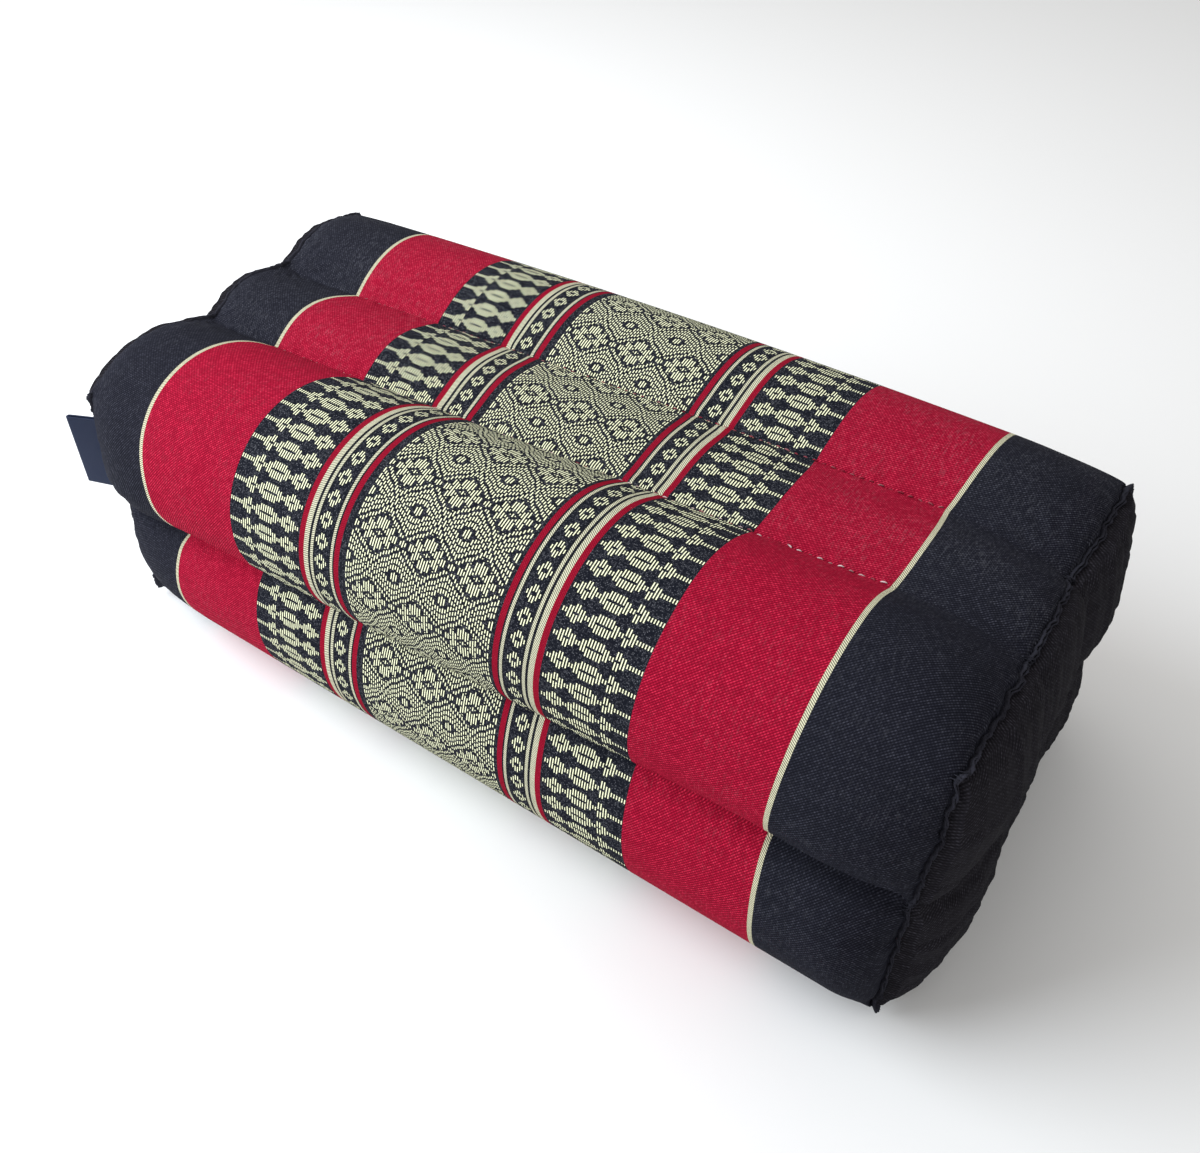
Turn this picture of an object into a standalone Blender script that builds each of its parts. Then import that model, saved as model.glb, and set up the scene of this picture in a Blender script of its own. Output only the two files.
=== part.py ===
"""Block cushion for sitting on: a woven sleeve sewn into six long channels, three wide and two
high, filled, and closed at both ends by a plain panel with a folded ribbon tab in one seam.
Metres, +Z up. +X runs along the cushion, the near long side is at -Y, and it rests on z = 0."""
import math
from collections import namedtuple

import bmesh
import bpy
import numpy as np

# Driving dimensions, in metres
LEFT_X = -0.1640           # the left end seam, where it crosses y = 0
RIGHT_X = 0.1650           # the right end seam, which is square to the length
LEFT_SKEW = -0.060         # change of the left seam's x for each metre of y
RIGHT_SKEW = 0.0
CELL_STEPS = 8             # samples along one channel width of cloth
HALF_RINGS = 20            # rings of the sleeve from the middle to an end
RING_SPREAD = 1.7          # above 1, the rings crowd towards the end seams
LINE_STATION = 0.113       # the tables below give values at minus this, 0 and plus this in x
SOFT_CREASE_LEFT = 0.15    # how far the top creases are rounded out at the left end, 0 to 1
SOFT_CREASE_RIGHT = 0.85   # and at the right end, where they lie shallow
CROWN_LEAD = 0.004         # the crown of a channel runs this far ahead of its creases at the ends

SEAM_GAP = 0.0004          # clear space between sleeve and end panel
LIP_THICK = 0.0013         # each of the two cloth lips that make the ridge of a seam
LIP_HIGH = 0.0023          # how far the ridge stands out
LIP_LEAN = math.radians(42)   # the ridge leans this far outward along X
EAR_REACH = 0.31           # cells on each side of a corner over which its ear of cloth rises
INWARD_REACH = 0.5         # cells on each side of a crease over which it draws the seam inward
CREASE_SMOOTHING = 3       # passes that round out the top creases of the sleeve
CREASE_REACH = 0.625       # cells on each side of a top crease over which it is rounded

# The end panels. Places on a panel run from 0 to 1, u from the near side to the far side and v
# upward, and depths are shares of the dome there
PANEL_THICK = 0.0015
EDGE_RISE = 0.55           # below 1, the dome rises steeply at the seam
EDGE_SQUARE_WIDE = 5       # the higher, the flatter the dome is from side to side
EDGE_SQUARE_HIGH = 4       # and from bottom to top
ROW_CREASE = 0.60          # depth of the level crease between the two rows
ROW_CREASE_WIDE = 0.10
NEAR_CREASE = 0.13         # depth of the upright crease on the near side
FAR_CREASE = 0.26          # and of the one on the far side
UPRIGHT_WIDE = 0.07
UPRIGHT_LOW = 0.4          # the upright creases keep this share of their depth at the bottom
CROSSING = 0.3             # where two creases cross, this share of the shallower one is added
DROOP = 0.0035             # how far the upper row hangs over the lower one
DROOP_PLACE = 0.62
DROOP_WIDE = 0.12

LABEL_LONG = 0.031         # along the seam
LABEL_PROUD = 0.0115       # beyond the ridge of the seam
LABEL_PLY = 0.0007         # each of the two layers of the folded ribbon
LABEL_SPACE = 0.0006       # between the layers at the fold
LABEL_LOW = 0.060          # height of its lower edge
LABEL_AIM = math.radians(204)   # direction in plan in which it stands out

# One row for each sewn line that runs along the cushion: y and z at the left station, the middle
# and the right station
SewnLine = namedtuple("SewnLine", "y_left y_middle y_right z_left z_middle z_right")
TOP_NEAR = SewnLine(-0.0234, -0.0218, -0.0197, 0.1071, 0.1117, 0.1146)
TOP_FAR = SewnLine(0.0206, 0.0219, 0.0226, 0.1081, 0.1117, 0.1136)
SIDE_FAR = SewnLine(0.0820, 0.0828, 0.0821, 0.0600, 0.0630, 0.0646)
BASE_FAR = SewnLine(0.0225, 0.0225, 0.0225, 0.0085, 0.0085, 0.0085)
BASE_NEAR = SewnLine(-0.0225, -0.0225, -0.0225, 0.0085, 0.0085, 0.0085)
SIDE_NEAR = SewnLine(-0.0827, -0.0826, -0.0813, 0.0590, 0.0636, 0.0682)

# One row for each stretch of cloth between two sewn lines, in order round the cushion
Lobe = namedtuple("Lobe", "start end cells cloth_left cloth_middle cloth_right")
LOBES = (
    Lobe(TOP_NEAR, TOP_FAR, 1, 0.0461, 0.0451, 0.0441),
    Lobe(TOP_FAR, SIDE_FAR, 2, 0.1141, 0.1140, 0.1116),
    Lobe(SIDE_FAR, BASE_FAR, 2, 0.1210, 0.1230, 0.1240),
    Lobe(BASE_FAR, BASE_NEAR, 1, 0.0515, 0.0515, 0.0515),
    Lobe(BASE_NEAR, SIDE_NEAR, 2, 0.1195, 0.1235, 0.1278),
    Lobe(SIDE_NEAR, TOP_NEAR, 2, 0.1141, 0.1128, 0.1116),
)

# One row for each corner or crease of an end seam, in the same order: its place, how far it draws
# the seam in from the end, how far the seam bows outward on its way to the next row, how far from
# it the sleeve has its full section, and how much further the ridge stands out as an ear
SeamPoint = namedtuple("SeamPoint", "y z inward bow reach ear")
LEFT_SEAM = (
    SeamPoint(-0.0200, 0.1042, 0.0030, 0.0034, 0.022, 0.0),
    SeamPoint(0.0232, 0.1075, 0.0030, 0.0045, 0.022, 0.0),
    SeamPoint(0.0715, 0.1082, 0.0000, 0.0010, 0.022, 0.0002),
    SeamPoint(0.0745, 0.0585, 0.0020, 0.0010, 0.026, 0.0),
    SeamPoint(0.0765, 0.0050, 0.0000, 0.0000, 0.026, 0.0010),
    SeamPoint(0.0230, 0.0060, 0.0000, 0.0000, 0.030, 0.0),
    SeamPoint(-0.0230, 0.0060, 0.0000, 0.0000, 0.030, 0.0),
    SeamPoint(-0.0768, 0.0045, 0.0000, 0.0003, 0.055, 0.0012),
    SeamPoint(-0.0772, 0.0545, 0.0000, 0.0010, 0.042, 0.0),
    SeamPoint(-0.0788, 0.1012, 0.0000, 0.0065, 0.022, 0.0002),
)
RIGHT_SEAM = (
    SeamPoint(-0.0195, 0.1102, 0.0003, 0.0027, 0.042, 0.0),
    SeamPoint(0.0230, 0.1072, 0.0015, 0.0015, 0.042, 0.0),
    SeamPoint(0.0730, 0.1110, 0.0000, 0.0010, 0.040, 0.0012),
    SeamPoint(0.0740, 0.0560, 0.0020, 0.0010, 0.030, 0.0),
    SeamPoint(0.0780, 0.0045, 0.0000, 0.0000, 0.016, 0.0012),
    SeamPoint(0.0232, 0.0060, 0.0000, 0.0000, 0.030, 0.0),
    SeamPoint(-0.0250, 0.0060, 0.0000, 0.0000, 0.030, 0.0),
    SeamPoint(-0.0760, 0.0050, 0.0000, 0.0005, 0.012, 0.0012),
    SeamPoint(-0.0728, 0.0590, 0.0007, 0.0010, 0.028, 0.0),
    SeamPoint(-0.0680, 0.1125, 0.0008, 0.0010, 0.042, 0.0006),
)

# How far the filling pushes a panel out in the middle of each channel
Push = namedtuple("Push", "near middle far")
UPPER_PUSH = Push(0.0120, 0.0095, 0.0120)
LOWER_PUSH = Push(0.0145, 0.0110, 0.0125)

End = namedtuple("End", "side x skew seam")
ENDS = (
    End(-1, LEFT_X, LEFT_SKEW, LEFT_SEAM),
    End(1, RIGHT_X, RIGHT_SKEW, RIGHT_SEAM),
)

CELLS = 10
ROUND = CELLS * CELL_STEPS
LOW_CORNER_NEAR, LOW_CORNER_FAR, TOP_CORNER_NEAR = 7, 4, 9
PANEL_WIDE = 3 * CELL_STEPS
PANEL_HIGH = 2 * CELL_STEPS
FLOOR_CLEAR = 0.0004                  # the lips of the seams end this far above the floor
CLOSE = 0.004                         # the ridge this near the label sets where its root lies
SHARP = math.radians(35)              # faces that meet at more than this are shaded with an edge


def along(left, middle, right, x):
    """Smooth value at x, through the three values that a table gives."""
    q = x / LINE_STATION
    return middle + q * (right - left) / 2 + q * q * ((right + left) / 2 - middle)


def line_at(line, x):
    """Where a sewn line crosses the section at x."""
    y = along(line.y_left, line.y_middle, line.y_right, x)
    z = along(line.z_left, line.z_middle, line.z_right, x)
    return np.array((y, z))


def half_angle(ratio):
    """Half the angle of an arc whose chord is this share of its length."""
    low, high = 1e-4, 3.0
    for _ in range(50):
        middle = (low + high) / 2
        if math.sin(middle) / middle > ratio:
            low = middle
        else:
            high = middle
    return (low + high) / 2


def arc(start, end, length, steps):
    """Points from start up to, but not with, end on the arc of that length bulging outward."""
    chord = end - start
    span = np.linalg.norm(chord)
    half = half_angle(min(span / length, 0.9995))
    radius = span / (2 * math.sin(half))
    forward = chord / span
    outward = np.array((-forward[1], forward[0]))
    angle = half * (2 * np.arange(steps) / steps - 1)
    middle = (start + end) / 2
    reach = radius * np.sin(angle)
    rise = radius * (np.cos(angle) - math.cos(half))
    return middle + reach[:, None] * forward + rise[:, None] * outward


def near_cell(cell, reach):
    """Weight round the ring: 1 where a cell starts, falling to 0 at a reach counted in cells."""
    away = (np.arange(ROUND) / CELL_STEPS - cell + CELLS / 2) % CELLS - CELLS / 2
    share = np.clip(np.abs(away) / reach, 0, 1)
    return 0.5 + 0.5 * np.cos(math.pi * share)


def crown():
    """Height of the crown of a channel round the ring: 0 on a sewn line, 1 half way between."""
    parts = []
    for lobe in LOBES:
        steps = lobe.cells * CELL_STEPS
        parts.append(np.sin(math.pi * np.arange(steps) / steps))
    return np.concatenate(parts)


def filled_ring(x):
    """The section of the filled sleeve at x, well away from the seams."""
    parts = []
    for lobe in LOBES:
        cloth = along(lobe.cloth_left, lobe.cloth_middle, lobe.cloth_right, x)
        steps = lobe.cells * CELL_STEPS
        parts.append(arc(line_at(lobe.start, x), line_at(lobe.end, x), cloth, steps))
    ring = np.concatenate(parts)
    smooth = ring
    for _ in range(CREASE_SMOOTHING):
        smooth = (np.roll(smooth, 1, 0) + 2 * smooth + np.roll(smooth, -1, 0)) / 4
    share = (x - LEFT_X) / (RIGHT_X - LEFT_X)
    soft = SOFT_CREASE_LEFT + (SOFT_CREASE_RIGHT - SOFT_CREASE_LEFT) * share
    weight = soft * (near_cell(0, CREASE_REACH) + near_cell(1, CREASE_REACH))
    return ring + weight[:, None] * (smooth - ring)


def spots(end, column, reach):
    """One column of an end's table round the ring, each value held close to its own row."""
    return sum(getattr(row, column) * near_cell(cell, reach) for cell, row in enumerate(end.seam))


def round_seam(end, column):
    """One column of an end's table, spread evenly round the ring."""
    values = [getattr(row, column) for row in end.seam]
    places = np.arange(ROUND) / CELL_STEPS
    return np.interp(places, range(CELLS + 1), values + values[:1])


def seam_ring(end):
    """The line of an end seam in space."""
    points = []
    for cell, row in enumerate(end.seam):
        after = end.seam[(cell + 1) % CELLS]
        start = np.array((row.y, row.z))
        chord = np.array((after.y, after.z)) - start
        outward = np.array((-chord[1], chord[0])) / np.linalg.norm(chord)
        for step in range(CELL_STEPS):
            t = step / CELL_STEPS
            points.append(start + t * chord + 4 * t * (1 - t) * row.bow * outward)
    flat = np.array(points)
    x = end.x + end.skew * flat[:, 0] - end.side * spots(end, "inward", INWARD_REACH)
    return np.column_stack((x, flat))


def outward_of(ring):
    """Unit vectors in the section's plane that point out of the ring."""
    tangent = np.roll(ring, -1, 0) - np.roll(ring, 1, 0)
    normal = np.column_stack((np.zeros(ROUND), -tangent[:, 2], tangent[:, 1]))
    return normal / np.linalg.norm(normal, axis=1)[:, None]


def lip_ring(end, across, share):
    """The ring at a share of the lip's height, moved across its thickness."""
    ring = seam_ring(end)
    outward = outward_of(ring)
    ahead = np.array((end.side, 0, 0))
    up = math.cos(LIP_LEAN) * outward + math.sin(LIP_LEAN) * ahead
    through = math.cos(LIP_LEAN) * ahead - math.sin(LIP_LEAN) * outward
    high = share * (LIP_HIGH + spots(end, "ear", EAR_REACH))
    out = ring + high[:, None] * up + across * through
    out[:, 2] = np.maximum(out[:, 2], FLOOR_CLEAR)
    return out


def sleeve_ring(end, inner):
    """The ring of the sleeve at a share of the way from an end seam, at 0, to the middle, at 1."""
    edge = lip_ring(end, -SEAM_GAP / 2 - LIP_THICK, 0)
    depth = abs(end.x) * inner ** RING_SPREAD
    x = end.x - end.side * depth
    share = np.minimum(depth / round_seam(end, "reach"), 1)
    fill = np.sqrt(1 - (1 - share) ** 2)
    lead = CROWN_LEAD * abs(x / end.x) * (crown() - 0.5) * fill
    ring = np.zeros((ROUND, 3))
    ring[:, 0] = x + end.side * lead + (1 - share) * (edge[:, 0] - end.x)
    ring[:, 1:] = edge[:, 1:] + fill[:, None] * (filled_ring(x) - edge[:, 1:])
    ring[:, 2] = np.maximum(ring[:, 2], 0)
    return ring


def sleeve_rings():
    """Rings of the filled sleeve from the left seam to the right one."""
    shares = [step / HALF_RINGS for step in range(HALF_RINGS + 1)]
    left = [sleeve_ring(ENDS[0], share) for share in shares]
    right = [sleeve_ring(ENDS[1], share) for share in reversed(shares[:-1])]
    return left + right


def patch(ring):
    """A grid of points that fills a seam ring, from its four sides."""
    low_near = LOW_CORNER_NEAR * CELL_STEPS
    low_far = LOW_CORNER_FAR * CELL_STEPS
    top_near = TOP_CORNER_NEAR * CELL_STEPS
    grid = np.zeros((PANEL_WIDE + 1, PANEL_HIGH + 1, 3))
    base = [ring[(low_near - i) % ROUND] for i in range(PANEL_WIDE + 1)]
    top = [ring[(top_near + i) % ROUND] for i in range(PANEL_WIDE + 1)]
    near = [ring[(low_near + j) % ROUND] for j in range(PANEL_HIGH + 1)]
    far = [ring[(low_far - j) % ROUND] for j in range(PANEL_HIGH + 1)]
    for i in range(PANEL_WIDE + 1):
        u = i / PANEL_WIDE
        for j in range(PANEL_HIGH + 1):
            v = j / PANEL_HIGH
            rows = (1 - v) * base[i] + v * top[i]
            columns = (1 - u) * near[j] + u * far[j]
            corners = ((1 - u) * ((1 - v) * base[0] + v * top[0])
                       + u * ((1 - v) * base[-1] + v * top[-1]))
            grid[i, j] = rows + columns - corners
    return grid


def bump(distance, width):
    """A rounded bump, 1 at no distance."""
    return math.exp(-(distance / width) ** 2)


def dome(u, v):
    """How far the filling pushes the panel out at a point of its grid."""
    edge_wide = (1 - abs(2 * u - 1) ** EDGE_SQUARE_WIDE) ** EDGE_RISE
    edge_high = (1 - abs(2 * v - 1) ** EDGE_SQUARE_HIGH) ** EDGE_RISE
    middles = (1 / 6, 1 / 2, 5 / 6)
    upper = np.interp(u, middles, UPPER_PUSH)
    lower = np.interp(u, middles, LOWER_PUSH)
    push = lower + (upper - lower) * np.interp(v, (1 / 4, 3 / 4), (0, 1))
    row = ROW_CREASE * bump(v - 1 / 2, ROW_CREASE_WIDE)
    uprights = NEAR_CREASE * bump(u - 1 / 3, UPRIGHT_WIDE) + FAR_CREASE * bump(u - 2 / 3, UPRIGHT_WIDE)
    column = (UPRIGHT_LOW + (1 - UPRIGHT_LOW) * v) * uprights
    crease = max(row, column) + CROSSING * min(row, column)
    return push * edge_wide * edge_high * (1 - crease)


def panel_sheet(end):
    """The middle surface between sleeve and end panel: its grid and the unit normals there."""
    grid = patch(seam_ring(end))
    for i in range(PANEL_WIDE + 1):
        for j in range(PANEL_HIGH + 1):
            v = j / PANEL_HIGH
            push = dome(i / PANEL_WIDE, v)
            grid[i, j, 0] += end.side * push
            grid[i, j, 2] -= DROOP * push / max(UPPER_PUSH) * bump(v - DROOP_PLACE, DROOP_WIDE)
    across = np.gradient(grid, axis=0)
    upward = np.gradient(grid, axis=1)
    normal = end.side * np.cross(across, upward)
    return grid, normal / np.linalg.norm(normal, axis=2)[:, :, None]


def rim_cells():
    """For each sample of the ring, the grid cell of the panel that meets it."""
    cells = []
    low_near = LOW_CORNER_NEAR * CELL_STEPS
    for step in range(ROUND):
        place = (step - low_near) % ROUND
        if place < PANEL_HIGH:
            cells.append((0, place))
        elif place < PANEL_HIGH + PANEL_WIDE:
            cells.append((place - PANEL_HIGH, PANEL_HIGH))
        elif place < 2 * PANEL_HIGH + PANEL_WIDE:
            cells.append((PANEL_WIDE, 2 * PANEL_HIGH + PANEL_WIDE - place))
        else:
            cells.append((ROUND - place, 0))
    return cells


def add_ring(mesh, points):
    """Add one ring of vertices."""
    return [mesh.verts.new(point) for point in points]


def join_rings(mesh, first, second):
    """Join two rings of equal count with quads."""
    for step in range(len(first)):
        after = (step + 1) % len(first)
        mesh.faces.new((first[step], first[after], second[after], second[step]))


def add_patch(mesh, grid, rim):
    """Add a grid of faces whose border is the ring of vertices already there."""
    verts = {}
    for step, cell in enumerate(rim_cells()):
        verts[cell] = rim[step]
    for i in range(PANEL_WIDE + 1):
        for j in range(PANEL_HIGH + 1):
            if (i, j) not in verts:
                verts[i, j] = mesh.verts.new(grid[i, j])
    for i in range(PANEL_WIDE):
        for j in range(PANEL_HIGH):
            corners = ((i, j), (i + 1, j), (i + 1, j + 1), (i, j + 1))
            mesh.faces.new([verts[corner] for corner in corners])


def make_object(name, mesh, material):
    """Turn the finished mesh into a smooth-shaded object."""
    bmesh.ops.recalc_face_normals(mesh, faces=mesh.faces)
    bmesh.ops.triangulate(mesh, faces=mesh.faces)
    data = bpy.data.meshes.new(name)
    mesh.to_mesh(data)
    mesh.free()
    data.shade_smooth()
    data.set_sharp_from_angle(angle=SHARP)
    data.materials.append(material)
    thing = bpy.data.objects.new(name, data)
    bpy.context.scene.collection.objects.link(thing)
    return thing


def cloth_material(name, colour, roughness):
    """A plain woven finish."""
    material = bpy.data.materials.new(name)
    material.use_nodes = True
    shader = material.node_tree.nodes["Principled BSDF"]
    shader.inputs["Base Color"].default_value = (*colour, 1)
    shader.inputs["Roughness"].default_value = roughness
    shader.inputs["Metallic"].default_value = 0
    return material


def make_body(material):
    """The filled sleeve, with its lip at each end seam and the filling domed behind the panels."""
    mesh = bmesh.new()
    rings = [add_ring(mesh, points) for points in sleeve_rings()]
    for first, second in zip(rings, rings[1:]):
        join_rings(mesh, first, second)
    for end, edge in zip(ENDS, (rings[0], rings[-1])):
        outer = add_ring(mesh, lip_ring(end, -SEAM_GAP / 2 - LIP_THICK, 1))
        inner = add_ring(mesh, lip_ring(end, -SEAM_GAP / 2, 1))
        root = add_ring(mesh, lip_ring(end, -SEAM_GAP / 2, 0))
        join_rings(mesh, edge, outer)
        join_rings(mesh, outer, inner)
        join_rings(mesh, inner, root)
        grid, normal = panel_sheet(end)
        add_patch(mesh, grid - normal * SEAM_GAP / 2, root)
    return make_object("body", mesh, material)


def make_panel(name, end, material):
    """One end panel: a domed sheet whose own lip lies against the sleeve's."""
    mesh = bmesh.new()
    grid, normal = panel_sheet(end)
    near, far = SEAM_GAP / 2, SEAM_GAP / 2 + LIP_THICK
    inner_root = add_ring(mesh, lip_ring(end, near, 0))
    inner_top = add_ring(mesh, lip_ring(end, near, 1))
    outer_top = add_ring(mesh, lip_ring(end, far, 1))
    outer_root = add_ring(mesh, lip_ring(end, far, 0))
    join_rings(mesh, inner_root, inner_top)
    join_rings(mesh, inner_top, outer_top)
    join_rings(mesh, outer_top, outer_root)
    add_patch(mesh, grid + normal * SEAM_GAP / 2, inner_root)
    add_patch(mesh, grid + normal * (SEAM_GAP / 2 + PANEL_THICK), outer_root)
    return make_object(name, mesh, material)


def make_label(material):
    """The folded ribbon that stands out of the left seam: two layers and a round fold."""
    half = LABEL_SPACE / 2
    outer = half + LABEL_PLY
    bend = LABEL_PROUD - outer
    turn = [math.pi * step / 8 - math.pi / 2 for step in range(9)]
    outline = [(0, -outer)]
    outline += [(bend + outer * math.cos(angle), outer * math.sin(angle)) for angle in turn]
    outline += [(0, outer), (0, half)]
    outline += [(bend + half * math.cos(angle), half * math.sin(angle)) for angle in turn[::-1]]
    outline += [(0, -half)]
    aim = np.array((math.cos(LABEL_AIM), math.sin(LABEL_AIM)))
    square = np.array((-aim[1], aim[0]))
    crest = np.concatenate([lip_ring(ENDS[0], across, 1) for across in (-LIP_THICK, LIP_THICK)])
    beside = crest[(crest[:, 1] < 0) & (crest[:, 2] > LABEL_LOW - CLOSE)
                   & (crest[:, 2] < LABEL_LOW + LABEL_LONG + CLOSE)]
    centre = beside[:, :2].mean(axis=0)
    root = max((beside[:, :2] - centre) @ aim) + SEAM_GAP
    start = centre + aim * root
    mesh = bmesh.new()
    verts = []
    for out, across in outline:
        place = start + aim * out + square * across
        verts.append(mesh.verts.new((place[0], place[1], LABEL_LOW)))
    face = mesh.faces.new(verts)
    raised = bmesh.ops.extrude_face_region(mesh, geom=[face])
    top = [item for item in raised["geom"] if isinstance(item, bmesh.types.BMVert)]
    bmesh.ops.translate(mesh, verts=top, vec=(0, 0, LABEL_LONG))
    return make_object("label", mesh, material)


def centre_on_floor(things):
    """Move the pieces so that the middle of their common box is at x = 0 and y = 0."""
    points = np.array([vert.co for thing in things for vert in thing.data.vertices])
    middle = (points.min(axis=0) + points.max(axis=0)) / 2
    for thing in things:
        for vert in thing.data.vertices:
            vert.co.x -= middle[0]
            vert.co.y -= middle[1]


def main():
    for thing in list(bpy.data.objects):
        bpy.data.objects.remove(thing, do_unlink=True)
    make_body(cloth_material("sleeve_weave", (0.33, 0.012, 0.025), 0.85))
    panel = cloth_material("end_weave", (0.012, 0.014, 0.022), 0.88)
    make_panel("end_panel_left", ENDS[0], panel)
    make_panel("end_panel_right", ENDS[1], panel)
    make_label(cloth_material("ribbon", (0.015, 0.02, 0.045), 0.6))
    centre_on_floor(list(bpy.data.objects))


main()
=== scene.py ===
"""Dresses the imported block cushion: a filled sleeve of patterned weave sewn into channels, two
domed end panels, the ridges of their seams, the stitches in the creases and a folded ribbon tab.
Metres, +Z up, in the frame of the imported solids. Sizes of the weave are in millimetres of cloth."""

import math
from collections import namedtuple

import bpy
import numpy as np
from mathutils import Matrix, Vector


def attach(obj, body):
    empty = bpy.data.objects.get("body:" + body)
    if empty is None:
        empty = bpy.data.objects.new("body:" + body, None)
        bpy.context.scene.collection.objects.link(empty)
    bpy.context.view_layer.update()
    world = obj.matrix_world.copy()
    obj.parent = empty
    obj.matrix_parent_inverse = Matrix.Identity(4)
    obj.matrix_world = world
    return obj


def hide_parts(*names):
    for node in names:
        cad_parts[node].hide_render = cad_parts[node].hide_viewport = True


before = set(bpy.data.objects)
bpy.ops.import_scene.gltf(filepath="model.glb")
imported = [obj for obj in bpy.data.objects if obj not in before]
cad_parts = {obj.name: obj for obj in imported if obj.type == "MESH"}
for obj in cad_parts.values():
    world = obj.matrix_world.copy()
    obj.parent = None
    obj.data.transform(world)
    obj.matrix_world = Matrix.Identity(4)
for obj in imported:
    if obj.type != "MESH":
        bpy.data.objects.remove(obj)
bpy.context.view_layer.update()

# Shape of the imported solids, repeated from their source, in metres
LEFT_X = -0.1640
RIGHT_X = 0.1650
LEFT_SKEW = -0.060
RIGHT_SKEW = 0.0
LINE_STATION = 0.113       # the tables below give values at minus this, 0 and plus this in x
SOFT_CREASE_LEFT = 0.15
SOFT_CREASE_RIGHT = 0.85
CREASE_REACH = 0.625
CREASE_BLUR = 0.153        # cells, as far as the solids' smoothing passes carry
CROWN_LEAD = 0.004
SEAM_GAP = 0.0004
LIP_LEAN = math.radians(42)
EAR_REACH = 0.31
INWARD_REACH = 0.5
PANEL_THICK = 0.0015
EDGE_RISE = 0.55
EDGE_SQUARE_WIDE = 5
EDGE_SQUARE_HIGH = 4
ROW_CREASE_WIDE = 0.10
NEAR_CREASE = 0.13
FAR_CREASE = 0.26
UPRIGHT_WIDE = 0.07
UPRIGHT_LOW = 0.4
CROSSING = 0.3
DROOP_PLACE = 0.62
DROOP_WIDE = 0.12
LABEL_LONG = 0.031
LABEL_PROUD = 0.0115
LABEL_PLY = 0.0007
LABEL_SPACE = 0.0006
LABEL_LOW = 0.060
LABEL_AIM = math.radians(204)
CENTRE = np.array((-0.000002, 0.000414, 0.0))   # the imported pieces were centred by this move

SewnLine = namedtuple("SewnLine", "y_left y_middle y_right z_left z_middle z_right")
TOP_NEAR = SewnLine(-0.0234, -0.0218, -0.0197, 0.1071, 0.1117, 0.1146)
TOP_FAR = SewnLine(0.0206, 0.0219, 0.0226, 0.1081, 0.1117, 0.1136)
SIDE_FAR = SewnLine(0.0820, 0.0828, 0.0821, 0.0600, 0.0630, 0.0646)
BASE_FAR = SewnLine(0.0225, 0.0225, 0.0225, 0.0085, 0.0085, 0.0085)
BASE_NEAR = SewnLine(-0.0225, -0.0225, -0.0225, 0.0085, 0.0085, 0.0085)
SIDE_NEAR = SewnLine(-0.0827, -0.0826, -0.0813, 0.0590, 0.0636, 0.0682)

Lobe = namedtuple("Lobe", "start end cells cloth_left cloth_middle cloth_right")
LOBES = (
    Lobe(TOP_NEAR, TOP_FAR, 1, 0.0461, 0.0451, 0.0441),
    Lobe(TOP_FAR, SIDE_FAR, 2, 0.1141, 0.1140, 0.1116),
    Lobe(SIDE_FAR, BASE_FAR, 2, 0.1210, 0.1230, 0.1240),
    Lobe(BASE_FAR, BASE_NEAR, 1, 0.0515, 0.0515, 0.0515),
    Lobe(BASE_NEAR, SIDE_NEAR, 2, 0.1195, 0.1235, 0.1278),
    Lobe(SIDE_NEAR, TOP_NEAR, 2, 0.1141, 0.1128, 0.1116),
)

# One row for each corner or crease of an end seam, in the same order: its place, how far it draws
# the seam in from the end, how far the seam bows outward on its way to the next row, how far from
# it the sleeve has its full section, and how much further the ridge stands out as an ear
SeamPoint = namedtuple("SeamPoint", "y z inward bow reach ear")
LEFT_SEAM = (
    SeamPoint(-0.0200, 0.1042, 0.0030, 0.0034, 0.022, 0.0),
    SeamPoint(0.0232, 0.1075, 0.0030, 0.0045, 0.022, 0.0),
    SeamPoint(0.0715, 0.1082, 0.0000, 0.0010, 0.022, 0.0002),
    SeamPoint(0.0745, 0.0585, 0.0020, 0.0010, 0.026, 0.0),
    SeamPoint(0.0765, 0.0050, 0.0000, 0.0000, 0.026, 0.0010),
    SeamPoint(0.0230, 0.0060, 0.0000, 0.0000, 0.030, 0.0),
    SeamPoint(-0.0230, 0.0060, 0.0000, 0.0000, 0.030, 0.0),
    SeamPoint(-0.0768, 0.0045, 0.0000, 0.0003, 0.055, 0.0012),
    SeamPoint(-0.0772, 0.0545, 0.0000, 0.0010, 0.042, 0.0),
    SeamPoint(-0.0788, 0.1012, 0.0000, 0.0065, 0.022, 0.0002),
)
RIGHT_SEAM = (
    SeamPoint(-0.0195, 0.1102, 0.0003, 0.0027, 0.042, 0.0),
    SeamPoint(0.0230, 0.1072, 0.0015, 0.0015, 0.042, 0.0),
    SeamPoint(0.0730, 0.1110, 0.0000, 0.0010, 0.040, 0.0012),
    SeamPoint(0.0740, 0.0560, 0.0020, 0.0010, 0.030, 0.0),
    SeamPoint(0.0780, 0.0045, 0.0000, 0.0000, 0.016, 0.0012),
    SeamPoint(0.0232, 0.0060, 0.0000, 0.0000, 0.030, 0.0),
    SeamPoint(-0.0250, 0.0060, 0.0000, 0.0000, 0.030, 0.0),
    SeamPoint(-0.0760, 0.0050, 0.0000, 0.0005, 0.012, 0.0012),
    SeamPoint(-0.0728, 0.0590, 0.0007, 0.0010, 0.028, 0.0),
    SeamPoint(-0.0680, 0.1125, 0.0008, 0.0010, 0.042, 0.0006),
)

# How far the filling pushes a panel out in the middle of each channel
Push = namedtuple("Push", "near middle far")
UPPER_PUSH = Push(0.0120, 0.0095, 0.0120)
LOWER_PUSH = Push(0.0145, 0.0110, 0.0125)

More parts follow.
